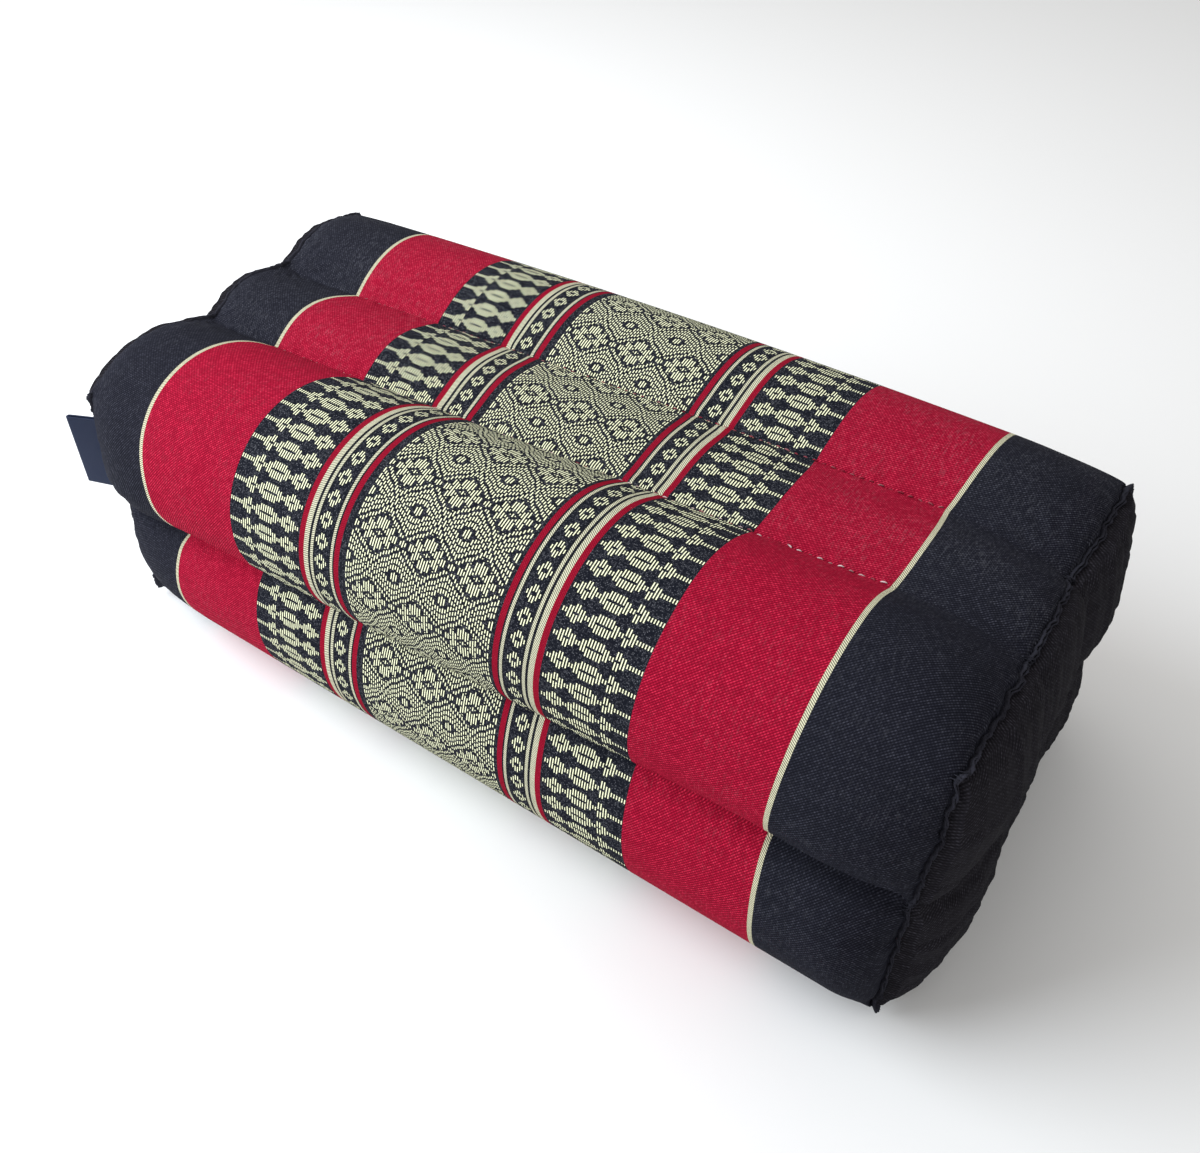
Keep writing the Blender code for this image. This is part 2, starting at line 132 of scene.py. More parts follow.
End = namedtuple("End", "side x skew seam")
LEFT_END = End(-1, LEFT_X, LEFT_SKEW, LEFT_SEAM)
RIGHT_END = End(1, RIGHT_X, RIGHT_SKEW, RIGHT_SEAM)
CELLS = 10                 # channel widths of cloth round the ring
CELLS_ACROSS, CELLS_UP = 3, 2          # of them, those across a panel and those up it
LOW_CORNER_NEAR, LOW_CORNER_FAR, TOP_CORNER_NEAR = 7, 4, 9
FLOOR_CLEAR = 0.0004
FLATTEST = 0.9995          # a chord is at most this share of its arc
WANDER_WAVES = (0.61, 0.84, 1.13, 1.57)   # an irregular wave adds up waves of these lengths
WANDER_MOST = 2.4
CLOSING = 0.05             # cells over which a wave round the ring dies away where the ring closes
TURN = 0.1                 # cells on each side over which a ridge turns at a corner

# Finer than in the solids: the seam's lips are thinner, and the level crease of a panel is deeper
LIP_THICK = 0.00055
LIP_HIGH = 0.0015
ROW_CREASE = 0.74
ROW_SHARP = 0.5            # this share of the level crease is narrow
ROW_SHARP_WIDE = 0.03
ROW_RISE = 0.085           # it rises this much, in shares of the height, over this share of the width
ROW_RISE_WIDE = 0.12
DROOP = 0.0075

# Fineness of the visible meshes
CELL_STEPS = 32            # samples of the sleeve along one channel width of cloth
PANEL_STEPS = 44           # and of an end panel
RIDGE_STEPS = 200          # and of a seam ridge
CROWD = 0.6                # how far the samples crowd towards the sewn lines, from 0 to 1
HALF_RINGS = 124           # rings of the sleeve from the middle to an end
RING_SPREAD = 1.25         # above 1, the rings crowd towards the end seams

# Grooves, puckers and wrinkles: depths and distances in metres, reaches round the ring in cells
TOP_CELLS = (0, 1)
SIDE_CELLS = {3: -1, 8: 1}  # and which way round the ring is upward from each
SEWN_CELLS = (0, 1, 3, 5, 6, 8)
SEAM_CREASES = (0, 1, 3, 8)
CELL_WIDE = 0.055          # width of the cloth of one cell
GROOVE = 0.0011
GROOVE_REACH = 0.045
GROOVE_END = 0.126         # the grooves fade out here, at the end bands
GROOVE_FADE = 0.012
VALLEY = 0.0013            # soft valley along a top crease beyond the groove
VALLEY_REACH = 0.15
VALLEY_DEPTH = 0.060
SIDE_GROOVE = 0.0065       # groove along a side crease beside the end seam
SIDE_GROOVE_REACH = 0.13
OVERHANG = 0.0034          # the upper lobe stands out this much over it
OVERHANG_PLACE = 0.27
OVERHANG_REACH = 0.18
SIDE_DEPTH = 0.040
SIDE_SAG = 0.0022          # the crease hangs this much lower a little way in from the seam
SAG_DEPTH = 0.022
SAG_WIDE = 0.018
SAG_REACH = 0.8
PUCKER = 0.00028
PUCKER_REACH = 0.10
PUCKER_WAVE = 9.5          # in millimetres
PUCKER_SLANT = 25          # millimetres along the cushion for each cell round it
PUCKER_LEAST = 0.35        # share of the puckers that is left in the end bands
WRINKLE = 0.00050          # wrinkles that radiate from where a crease meets the end seam
WRINKLE_ANGLE = 0.30
WRINKLE_START = 0.004
WRINKLE_REACH = 0.022
WRINKLE_STRAY = 0.3        # of a wrinkle's width, in waves of the length that follows
WRINKLE_STRAY_WAVE = 25
KINK = 0.0010              # the seam is kinked this much where a crease meets it
KINK_REACH = 0.05
SWAY = 0.00045             # and wanders this much between them
SWAY_WAVES = ((1.0, 21, 70), (0.7, 7.5, 71))   # share, wave in millimetres and seed

# The small folds of a panel beside its seam, in millimetres but for their height
FOLD_WAVE = 9.0
FOLD_RISE = 1.5
FOLD_DEPTH = 9.0
FOLD_SLANT = 0.5           # along the seam for each millimetre inward
FOLD_PATCH = 40            # they come and go over this length
FOLD_LEAST = 0.35          # and are at least this share of their height
FOLD_EDGE = 24             # they start from nothing over one part in this many of the panel
PANEL_WIDE_MM = 147.0
PANEL_HIGH_MM = 106.0

# The weave, in millimetres of cloth from its middle, as bands that mirror about it
THREAD = 0.949             # pitch of the raised cream threads along the cushion
PICK = 0.4625              # pitch of the picks round it, the step of the charts below
FIELD_MIDDLE = 0.77        # the middle thread of the cream field
FIELD_THREADS = 30         # on each side of it
COLUMN_START = 48.7
FLOWER_START = 36.05
FLOWER_PITCH = 0.9
HALF_MOTIF = 8             # picks from the middle of a motif to the gap between two
LAID_SHORT, LAID_MEDIUM, LAID_LONG = 0.72, 1.80, 2.83   # half lengths of the raised floats
SLIT = 0.34                # half the dark slit in the middle of a long float
FLOWER_SLIT = 0.65         # and of a flower row

PLY_PITCH = 0.72           # of the slanted dashes in the cream lines, round the cushion
PLY_SLANT = 1.05           # and along it
DASH_PITCH = 1.02          # of the fine slanted rows of dashes in the plain bands
DASH_LONG = 1.25           # of the dashes along a row
CORE_EDGE, CORE_FADE = 0.22, 0.08      # half width of a float's bright core, beyond which its sides are painted in shade, in shares of its pitch
FLOAT_EDGE, FLOAT_FADE = 0.29, 0.05    # and of the whole float
COVER_EDGE, COVER_FADE = 0.52, 0.20    # a float shows where it covers this share of a pick
FLOAT_END, SLIT_END = 0.25, 0.10       # a float and its slit fade out over these lengths
FIELD_BAND = 32                        # the floats of the field lie inside this
FLOWER_BAND = (35.25, 41.35)           # those of a flower row lie between these
COLUMN_BAND = 48                       # and those of a column beyond this
STRAY = 0.4                            # the threads stray by up to half of this
FAR_SHEEN_START = 10.0                  # the far channels are painted paler, a painted sheen, from here round the cloth
FAR_SHEEN_FADE = 25.0
WEAVE_RELIEF = 0.00022                 # height of the weave, in metres
RIBBON_RIB = 0.0005                    # pitch of the ribbon's ribs, in metres
RAMP_MOST = 4                          # a colour ramp holds up to 1, so lengths are divided by this
GROUP_MARKS = 9                        # marks of a row of the field's chart that one number holds
GROUP_SPAN = 2 ** GROUP_MARKS

# Floats of the column motif and of the flower rows, one letter for each thread outward
COLUMN_CHART = "SSMMTTMMSSMMTTTTTTMMSSTTMMSSSSSS"
FLOWER_CHART = "SMTTMS"

# Floats of the field, one row for each thread from the middle of a large flower to the middle of
# a small one, and one mark for each pick from the flower's middle to half way to the next
FIELD_CHART = (
    "##..#########...##.####.#",
    "#..########...#.####..###",
    "..##.######...####..###.#",
    ".#####......###..###.###.",
    "########..###..###.###.##",
    "##.#####.###..###.###.##.",
    "###.....###..###.###.###.",
    "###...###..###.###.####..",
    "....###..###.###.###.....",
    "##..##..###.###.####..###",
    "###...####.####.###..####",
)

BLACK = (0.0090, 0.0100, 0.0148)
NAVY = (0.0075, 0.0085, 0.0135)
END_BLACK = (0.0130, 0.0135, 0.0210)
RED = (0.30, 0.0055, 0.024)
CRIMSON = (0.310, 0.0040, 0.026)
CREAM = (0.97, 0.98, 0.70)
# Painted shade along the sides of each rounded cream float
CREAM_PAINTED_SHADE = (0.20, 0.21, 0.06)
LINE_CREAM = (0.80, 0.78, 0.57)
STRIPE_CREAM = (0.84, 0.81, 0.57)
# Pale colour of lint, also used for the painted sheen on the crests of the weave and on the far channels
LINT_AND_SHEEN = (0.40, 0.41, 0.46)
PANEL_BLACK = (0.0130, 0.0118, 0.0156)
# The panels' dark cotton painted lighter, a painted highlight along the seam ridges
RIDGE_BLACK_HIGHLIT = (0.0250, 0.0250, 0.0340)
RIBBON_BLUE = (0.010, 0.018, 0.050)
LINING = (0.012, 0.012, 0.016)
THREAD_PALE = (0.72, 0.60, 0.60)
THREAD_RED = (0.22, 0.012, 0.030)

# How much of each relief a weave shows: plain, slanted twill, dotted ground
WEAVES = {"plain": (1, 0, 0), "twill": (0.2, 0.45, 0), "ply": (0, 1, 0), "dots": (0, 0, 1)}
Band = namedtuple("Band", "start colour weave")
BANDS = (
    Band(0.00, BLACK, "dots"),
    Band(30.90, RED, "twill"),
    Band(32.95, BLACK, "plain"),
    Band(33.55, LINE_CREAM, "ply"),
    Band(34.65, BLACK, "plain"),
    Band(35.25, NAVY, "dots"),
    Band(41.35, BLACK, "plain"),
    Band(42.00, LINE_CREAM, "ply"),
    Band(43.15, BLACK, "plain"),
    Band(44.05, LINE_CREAM, "ply"),
    Band(46.00, RED, "twill"),
    Band(48.10, NAVY, "dots"),
    Band(79.10, CRIMSON, "plain"),
    Band(123.10, STRIPE_CREAM, "ply"),
    Band(124.65, END_BLACK, "plain"),
)

# Cloth taken up inside each sewn line, and where the pattern starts at the first one
FLOWER_TO_CREASE = 21.0
HIDDEN = {TOP_NEAR: 2.8, TOP_FAR: 4.4, SIDE_FAR: 10.9, BASE_FAR: 4.0, BASE_NEAR: 4.0, SIDE_NEAR: 10.9}

# How far the bands wander along the cushion, in millimetres at each station: on the sewn lines, and
# half way across each lobe
DRIFT_STATIONS = (-123, -79, -40, 40, 79, 123)
STRAIGHT = (0.0,) * len(DRIFT_STATIONS)
LINE_DRIFT = {
    TOP_NEAR: (1.1, 0.6, 1.9, 1.7, 1.0, 1.6),
    TOP_FAR: (1.0, -2.3, -2.5, 0.2, 0.3, 1.0),
    SIDE_FAR: (1.0, 0.0, 0.0, 0.0, 0.0, 0.0),
    BASE_FAR: STRAIGHT,
    BASE_NEAR: STRAIGHT,
    SIDE_NEAR: (3.3, -0.9, 0.0, 0.1, 0.7, 0.8),
}
LOBE_DRIFT = (
    (0.8, -1.0, 0.2, 0.4, 0.0, -0.3),
    (2.5, 1.0, 0.3, 1.5, 0.0, 1.5),
    (1.0, 0.0, 0.0, 0.0, 0.0, 0.0),
    STRAIGHT,
    (0.0, 3.0, 4.5, 3.5, 3.0, 2.5),
    (-1.4, -0.5, 0.3, -0.2, -0.6, -0.8),
)
ROW_LEAN = {5: 0.019}      # rows of the pattern that lean against the creases, by lobe


def along(left, middle, right, x):
    """Smooth value at x, through the three values that a table gives."""
    q = x / LINE_STATION
    return middle + q * (right - left) / 2 + q * q * ((right + left) / 2 - middle)


def line_at(line, x):
    """Where a sewn line crosses the section at x."""
    y = along(line.y_left, line.y_middle, line.y_right, x)
    z = along(line.z_left, line.z_middle, line.z_right, x)
    return np.array((y, z))


def half_angle(ratio):
    """Half the angle of an arc whose chord is this share of its length."""
    low, high = 1e-4, 3.0
    for _ in range(50):
        middle = (low + high) / 2
        if math.sin(middle) / middle > ratio:
            low = middle
        else:
            high = middle
    return (low + high) / 2


def arc(start, end, length, share):
    """Points at shares of the way along the arc of that length bulging outward from a chord."""
    chord = end - start
    span = np.linalg.norm(chord)
    half = half_angle(min(span / length, FLATTEST))
    radius = span / (2 * math.sin(half))
    forward = chord / span
    outward = np.array((-forward[1], forward[0]))
    angle = half * (2 * share - 1)
    middle = (start + end) / 2
    reach = radius * np.sin(angle)
    rise = radius * (np.cos(angle) - math.cos(half))
    return middle + reach[:, None] * forward + rise[:, None] * outward


def bump(distance, width):
    """A rounded bump, 1 at no distance."""
    return np.exp(-(distance / width) ** 2)


def wander(value, wave, seed):
    """A smooth irregular wave between about -1 and 1, its waves about that long."""
    draw = np.random.default_rng(seed)
    total = 0
    for stretch in WANDER_WAVES:
        total = total + np.sin(2 * math.pi * (value / (wave * stretch) + draw.random()))
    return total / WANDER_MOST


def lobe_shares(steps):
    """For each step round the ring, its lobe, and its share and the next one's across that lobe."""
    rows = []
    for number, lobe in enumerate(LOBES):
        count = lobe.cells * steps
        share = np.arange(count + 1) / count
        share = share - CROWD * np.sin(2 * math.pi * share) / (2 * math.pi)
        rows += [(number, share[step], share[step + 1]) for step in range(count)]
    return rows


def crowded(steps):
    """Samples round the ring, counted in cells, that crowd towards the sewn lines."""
    starts = np.cumsum([0] + [lobe.cells for lobe in LOBES])
    places = [starts[number] + LOBES[number].cells * share for number, share, _ in lobe_shares(steps)]
    return np.round(places, 9)


SLEEVE_PLACES = crowded(CELL_STEPS)


def from_cell(cell, places):
    """How far places round the ring lie past the start of a cell, in cells."""
    return (places - cell + CELLS / 2) % CELLS - CELLS / 2


def closing(places):
    """Weight round the ring: 1, but 0 where the ring closes."""
    return np.clip(np.minimum(places, CELLS - places) / CLOSING, 0, 1)


def near_cell(cell, reach, places):
    """Weight round the ring: 1 where a cell starts, falling to 0 at a reach counted in cells."""
    share = np.clip(np.abs(from_cell(cell, places)) / reach, 0, 1)
    return 0.5 + 0.5 * np.cos(math.pi * share)


def blur_weights():
    """Weights that smooth the ring of the sleeve over the reach of a soft crease."""
    spacing = (np.roll(SLEEVE_PLACES, -1) - np.roll(SLEEVE_PLACES, 1)) % CELLS
    away = np.array([from_cell(place, SLEEVE_PLACES) for place in SLEEVE_PLACES])
    weights = np.exp(-0.5 * (away / CREASE_BLUR) ** 2) * spacing
    return weights / weights.sum(axis=1)[:, None]


BLUR = blur_weights()


def softness(x):
    """How far the top creases are rounded out at x, from 0 to 1."""
    share = (x - LEFT_X) / (RIGHT_X - LEFT_X)
    return SOFT_CREASE_LEFT + (SOFT_CREASE_RIGHT - SOFT_CREASE_LEFT) * share


def filled_ring(x):
    """The section of the filled sleeve at x, well away from the seams."""
    parts = []
    first = 0
    for lobe in LOBES:
        cloth = along(lobe.cloth_left, lobe.cloth_middle, lobe.cloth_right, x)
        inside = (SLEEVE_PLACES >= first) & (SLEEVE_PLACES < first + lobe.cells)
        share = (SLEEVE_PLACES[inside] - first) / lobe.cells
        parts.append(arc(line_at(lobe.start, x), line_at(lobe.end, x), cloth, share))
        first += lobe.cells
    ring = np.concatenate(parts)
    weight = softness(x) * sum(near_cell(cell, CREASE_REACH, SLEEVE_PLACES) for cell in TOP_CELLS)
    return ring + weight[:, None] * (BLUR @ ring - ring)


def spots(end, column, reach, places):
    """One column of an end's table round the ring, each value held close to its own row."""
    return sum(getattr(row, column) * near_cell(cell, reach, places) for cell, row in enumerate(end.seam))


def seam_ring(end, places):
    """The line of an end seam in space."""
    spot = places % CELLS
    cell = np.floor(spot).astype(int)
    t = (spot - cell)[:, None]
    knots = np.array([(row.y, row.z) for row in end.seam])
    bow = np.array([row.bow for row in end.seam])[cell][:, None]
    start = knots[cell]
    chord = knots[(cell + 1) % CELLS] - start
    outward = np.column_stack((-chord[:, 1], chord[:, 0])) / np.linalg.norm(chord, axis=1)[:, None]
    flat = start + t * chord + 4 * t * (1 - t) * bow * outward
    x = end.x + end.skew * flat[:, 0] - end.side * spots(end, "inward", INWARD_REACH, places)
    return np.column_stack((x + seam_sway(spot), flat))


def seam_sway(spot):
    """How far the seam strays along the cushion where the cloth was not sewn quite straight."""
    length = 1000 * CELL_WIDE * spot
    sway = SWAY * closing(spot) * sum(share * wander(length, wave, seed) for share, wave, seed in SWAY_WAVES)
    for cell in SEAM_CREASES + (TOP_CORNER_NEAR,):
        away = from_cell(cell, spot) / KINK_REACH
        sway = sway + KINK * away * np.exp(-away ** 2)
    return sway


def lip_frame(end, places):
    """The seam's line, with the unit vectors up the leaning ridge and across it."""
    tangent = seam_ring(end, places + TURN) - seam_ring(end, places - TURN)
    outward = np.column_stack((np.zeros(len(places)), -tangent[:, 2], tangent[:, 1]))
    outward /= np.linalg.norm(outward, axis=1)[:, None]
    ahead = np.array((end.side, 0, 0))
    up = math.cos(LIP_LEAN) * outward + math.sin(LIP_LEAN) * ahead
    through = math.cos(LIP_LEAN) * ahead - math.sin(LIP_LEAN) * outward
    return seam_ring(end, places), up, through


def above_floor(points, low=FLOOR_CLEAR):
    """The points, none of them lower than that."""
    points[:, 2] = np.maximum(points[:, 2], low)
    return points


def lip_ring(end, across, places, share=0):
    """The ring at a share of the seam ridge's height, moved across its thickness."""
    ring, up, through = lip_frame(end, places)
    high = share * (LIP_HIGH + spots(end, "ear", EAR_REACH, places))
    return above_floor(ring + high[:, None] * up + across * through)


def sewn_relief(cloth, depth):
    """How far the cloth stands out round the ring from its grooves, puckers and end wrinkles."""
    relief = np.zeros(len(SLEEVE_PLACES))
    fade = np.clip((GROOVE_END - np.abs(cloth)) / GROOVE_FADE, 0, 1)
    for cell in TOP_CELLS:
        away = from_cell(cell, SLEEVE_PLACES)
        close = np.clip(1 - np.abs(away) / GROOVE_REACH, 0, 1)
        relief -= GROOVE * softness(cloth) * fade * close ** 2
        relief -= VALLEY * softness(cloth) * bump(away, VALLEY_REACH) * math.exp(-depth / VALLEY_DEPTH)
    for cell in SIDE_CELLS:
        away = from_cell(cell, SLEEVE_PLACES) * SIDE_CELLS[cell]
        close = np.clip(1 - np.abs(away) / SIDE_GROOVE_REACH, 0, 1)
        shape = OVERHANG * bump(away - OVERHANG_PLACE, OVERHANG_REACH) - SIDE_GROOVE * close ** 2
        relief += shape * math.exp(-depth / SIDE_DEPTH)
    for cell in SEWN_CELLS:
        away = from_cell(cell, SLEEVE_PLACES)
        for side, seed in ((away < 0, 20 + cell), (away >= 0, 40 + cell)):
            wave = wander(1000 * cloth + PUCKER_SLANT * away, PUCKER_WAVE, seed)
            relief += side * PUCKER * wave * bump(away, PUCKER_REACH) * (
                PUCKER_LEAST + (1 - PUCKER_LEAST) * fade)
    for cell in SEAM_CREASES:
        aside = CELL_WIDE * from_cell(cell, SLEEVE_PLACES)
        far = np.hypot(aside, depth)
        angle = np.arctan2(aside, depth + WRINKLE_START)
        stray = WRINKLE_STRAY * wander(1000 * far, WRINKLE_STRAY_WAVE, 60 + cell)
        wave = np.sin(2 * math.pi * (angle / WRINKLE_ANGLE + stray))
        near_seam = np.minimum(far / WRINKLE_START, 1) * min(2 * depth / WRINKLE_START, 1)
        relief += WRINKLE * wave * near_seam * bump(far, WRINKLE_REACH)
    return relief


def section_normal(ring):
    """Unit vectors out of the sleeve in the plane of its section."""
    tangent = np.roll(ring, -1, 0) - np.roll(ring, 1, 0)
    normal = np.column_stack((-tangent[:, 2], tangent[:, 1]))
    return normal / np.linalg.norm(normal, axis=1)[:, None]


def sleeve_rows(end):
    """Rings of the sleeve from an end seam to the middle, and each ring's place on the cloth."""
    edge = lip_ring(end, -SEAM_GAP / 2 - LIP_THICK, SLEEVE_PLACES)
    values = [row.reach for row in end.seam]
    reach = np.interp(SLEEVE_PLACES, range(CELLS + 1), values + values[:1])
    crown = np.array([math.sin(math.pi * share) for _, share, _ in lobe_shares(CELL_STEPS)])
    rings, cloths = [], []
    for inner in np.linspace(0, 1, HALF_RINGS + 1):
        depth = abs(end.x) * inner ** RING_SPREAD
        x = end.x - end.side * depth
        share = np.minimum(depth / reach, 1)
        fill = np.sqrt(1 - (1 - share) ** 2)
        cloth = x + (1 - share) * (edge[:, 0] - end.x)
        lead = CROWN_LEAD * abs(x / end.x) * (crown - 0.5) * fill
        ring = np.column_stack((cloth + end.side * lead, edge[:, 1:]))
        ring[:, 1:] += fill[:, None] * (filled_ring(x) - edge[:, 1:])
        sag = SIDE_SAG * bump(depth - SAG_DEPTH, SAG_WIDE)
        ring[:, 2] -= sag * sum(near_cell(cell, SAG_REACH, SLEEVE_PLACES) for cell in SIDE_CELLS)
        ring[:, 1:] += (fill * sewn_relief(cloth, depth))[:, None] * section_normal(ring)
        rings.append(above_floor(ring, 0))
        cloths.append(cloth)
    return rings, cloths


def panel_places(steps):
    """Shares across and up a panel that match the samples of its seam."""
    places = crowded(steps)
    around = len(places)
    wide = [places[(TOP_CORNER_NEAR * steps + i) % around] for i in range(CELLS_ACROSS * steps + 1)]
    high = [places[(LOW_CORNER_NEAR * steps + j) % around] for j in range(CELLS_UP * steps + 1)]
    u = (np.array(wide) - TOP_CORNER_NEAR) % CELLS / CELLS_ACROSS
    v = (np.array(high) - LOW_CORNER_NEAR) % CELLS / CELLS_UP
    return u[:, None], v[None, :]


def patch(ring, steps):
    """A grid of points that fills a seam ring, from its four sides."""
    around = CELLS * steps
    i, j = np.arange(CELLS_ACROSS * steps + 1), np.arange(CELLS_UP * steps + 1)
    base = ring[(LOW_CORNER_NEAR * steps - i) % around][:, None]
    top = ring[(TOP_CORNER_NEAR * steps + i) % around][:, None]
    near = ring[(LOW_CORNER_NEAR * steps + j) % around][None, :]
    far = ring[(LOW_CORNER_FAR * steps - j) % around][None, :]
    u, v = [share[:, :, None] for share in panel_places(steps)]
    corners = (1 - u) * ((1 - v) * base[0] + v * top[0]) + u * ((1 - v) * base[-1] + v * top[-1])
    return (1 - v) * base + v * top + (1 - u) * near + u * far - corners


def dome(u, v):
    """How far the filling pushes the panel out at a point of its grid."""
    edge_wide = (1 - abs(2 * u - 1) ** EDGE_SQUARE_WIDE) ** EDGE_RISE
    edge_high = (1 - abs(2 * v - 1) ** EDGE_SQUARE_HIGH) ** EDGE_RISE
    middles = (1 / 6, 1 / 2, 5 / 6)
    upper = np.interp(u, middles, UPPER_PUSH)
    lower = np.interp(u, middles, LOWER_PUSH)
    push = lower + (upper - lower) * np.interp(v, (1 / 4, 3 / 4), (0, 1))
    level = 1 / 2 + ROW_RISE * (1 - np.exp(-u / ROW_RISE_WIDE)) * (1 - u ** 4)
    wide, narrow = bump(v - level, ROW_CREASE_WIDE), bump(v - level, ROW_SHARP_WIDE)
    row = ROW_CREASE * ((1 - ROW_SHARP) * wide + ROW_SHARP * narrow)
    uprights = NEAR_CREASE * bump(u - 1 / 3, UPRIGHT_WIDE) + FAR_CREASE * bump(u - 2 / 3, UPRIGHT_WIDE)
    column = (UPRIGHT_LOW + (1 - UPRIGHT_LOW) * v) * uprights
    crease = np.maximum(row, column) + CROSSING * np.minimum(row, column)
    return push * edge_wide * edge_high * (1 - crease)


# For each side of a panel, the height of its folds in metres and a seed
FOLD_SIDES = {"near": (0.0011, 81), "far": (0.0003, 82), "low": (0.0003, 83), "top": (0.0003, 84)}


def panel_folds(u, v):
    """Height of the small folds of a panel that run in from its seam."""
    across, up = u * PANEL_WIDE_MM, v * PANEL_HIGH_MM
    places = {"near": (across, up), "far": (PANEL_WIDE_MM - across, up),
              "low": (up, across), "top": (PANEL_HIGH_MM - up, across)}
    folds = 0
    for side, (height, seed) in FOLD_SIDES.items():
        inward, beside = places[side]
        rise = (1 - np.exp(-inward / FOLD_RISE)) * np.exp(-inward / FOLD_DEPTH)
        folds = folds + height * rise * wander(beside + FOLD_SLANT * inward, FOLD_WAVE, seed)
    edge = np.minimum(np.minimum(u, 1 - u), np.minimum(v, 1 - v))
    patches = FOLD_LEAST + (1 - FOLD_LEAST) * wander(across + up, FOLD_PATCH, 85) ** 2
    return folds * patches * np.minimum(FOLD_EDGE * edge, 1)


def grid_normals(grid, side):
    """Unit vectors out of a panel's grid."""
    normal = side * np.cross(np.gradient(grid, axis=0), np.gradient(grid, axis=1))
    return normal / np.linalg.norm(normal, axis=2)[:, :, None]


def panel_sheet(end, steps):
    """The middle surface between sleeve and end panel: its grid and the unit normals there."""
    grid = patch(seam_ring(end, crowded(steps)), steps)
    u, v = panel_places(steps)
    push = dome(u, v)
    grid[:, :, 0] += end.side * push
    grid[:, :, 2] -= DROOP * push / max(UPPER_PUSH) * bump(v - DROOP_PLACE, DROOP_WIDE)
    grid = grid + grid_normals(grid, end.side) * panel_folds(u, v)[:, :, None]
    return grid, grid_normals(grid, end.side)


def rim_cells(steps):
    """For each sample of the ring, the grid cell of the panel that meets it."""
    wide, high, around = CELLS_ACROSS * steps, CELLS_UP * steps, CELLS * steps
    cells = []
    for step in range(around):
        place = (step - LOW_CORNER_NEAR * steps) % around
        if place < high:
            cells.append((0, place))
        elif place < high + wide:
            cells.append((place - high, high))
        elif place < 2 * high + wide:
            cells.append((wide, 2 * high + wide - place))
        else:
            cells.append((around - place, 0))
    return cells


class Sheet:
    """Vertices and faces of one piece, with up to two UV maps given corner by corner."""

    def __init__(self):
        self.points = []
        self.faces = []
        self.cloth = []
        self.laid = []
        self.slots = []

    def add(self, points):
        """Add vertices and return their numbers."""
        first = len(self.points)
        self.points += [tuple(point) for point in np.asarray(points) + CENTRE]
        return list(range(first, len(self.points)))

    def face(self, corners, cloth=None, laid=None, slot=0):
        """Add one face, with the places of its corners on the cloth and in the flat layout."""
        self.faces.append(corners)
        self.cloth += cloth or [(0.0, 0.0)] * len(corners)
        self.laid += laid or [(0.0, 0.0)] * len(corners)
        self.slots.append(slot)

    def build(self, name, materials, layout=False, sharp=48):
        """Make the object, smooth-shaded but for folds sharper than that many degrees."""
        data = bpy.data.meshes.new(name)
        data.from_pydata(self.points, [], self.faces)
        cloth = data.uv_layers.new(name="Cloth")
        cloth.data.foreach_set("uv", np.array(self.cloth, dtype=np.float32).ravel())
        if layout:
            laid = data.uv_layers.new(name="OFBake")
            laid.data.foreach_set("uv", np.array(self.laid, dtype=np.float32).ravel())
        for material in materials:
            data.materials.append(material)
        data.polygons.foreach_set("material_index", self.slots)
        data.validate()
        data.shade_smooth()
        data.set_sharp_from_angle(angle=math.radians(sharp))
        thing = bpy.data.objects.new(name, data)
        bpy.context.scene.collection.objects.link(thing)
        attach(thing, "root")
        return thing


def girth_starts():
    """Where each lobe starts round the cloth, in millimetres from the middle of a large flower."""
    starts = {}
    place = FLOWER_TO_CREASE
    for number in (0, 1, 2):
        place += HIDDEN[LOBES[number].start]
        starts[number] = place
        place += 1000 * LOBES[number].cloth_middle
    place = FLOWER_TO_CREASE
    for number in (5, 4, 3):
        place -= 1000 * LOBES[number].cloth_middle
        starts[number] = place
        place -= HIDDEN[LOBES[number].start]
    return starts


def drift(number, share, x):
    """How far the bands lie from their place at a share of a lobe and a station in millimetres."""
    lobe = LOBES[number]
    tables = (LINE_DRIFT[lobe.start], LOBE_DRIFT[number], LINE_DRIFT[lobe.end])
    first, middle, last = [np.interp(x, DRIFT_STATIONS, values) for values in tables]
    rise = 4 * share * (1 - share)
    return (1 - share) * first + share * last + rise * (middle - (first + last) / 2)


def cloth_places(cloth):
    """For each step round the ring, the cloth places of its two edges at every station."""
    starts = girth_starts()
    x = 1000 * cloth
    around = x.shape[1]
    places = []
    for step, (number, share, after) in enumerate(lobe_shares(CELL_STEPS)):
        pair = []
        for column, part in ((step, share), ((step + 1) % around, after)):
            u = x[:, column] - drift(number, part, x[:, column])
            v = starts[number] + part * 1000 * LOBES[number].cloth_middle
            v = v + ROW_LEAN.get(number, 0) * u
            pair.append(np.column_stack((u, v)))
        places.append(pair)
    return places


# A place on the cloth within the plain end band
HEM = (140.0, 0.0)

# A rectangle of the flat layout of a piece's surface
Layout = namedtuple("Layout", "left low wide high")


def add_strip(sheet, first, second, turn=1, laid=Layout(0, 0, 0, 0)):
    """Join two rings of vertices with a strip of faces."""
    around = len(first)
    top = laid.low + laid.high
    for step in range(around):
        after = (step + 1) % around
        corners = [first[step], first[after], second[after], second[step]]
        one, two = [laid.left + laid.wide * side / around for side in (step, step + 1)]
        places = [(one, laid.low), (two, laid.low), (two, top), (one, top)]
        sheet.face(corners[::turn], [HEM] * 4, places[::turn])


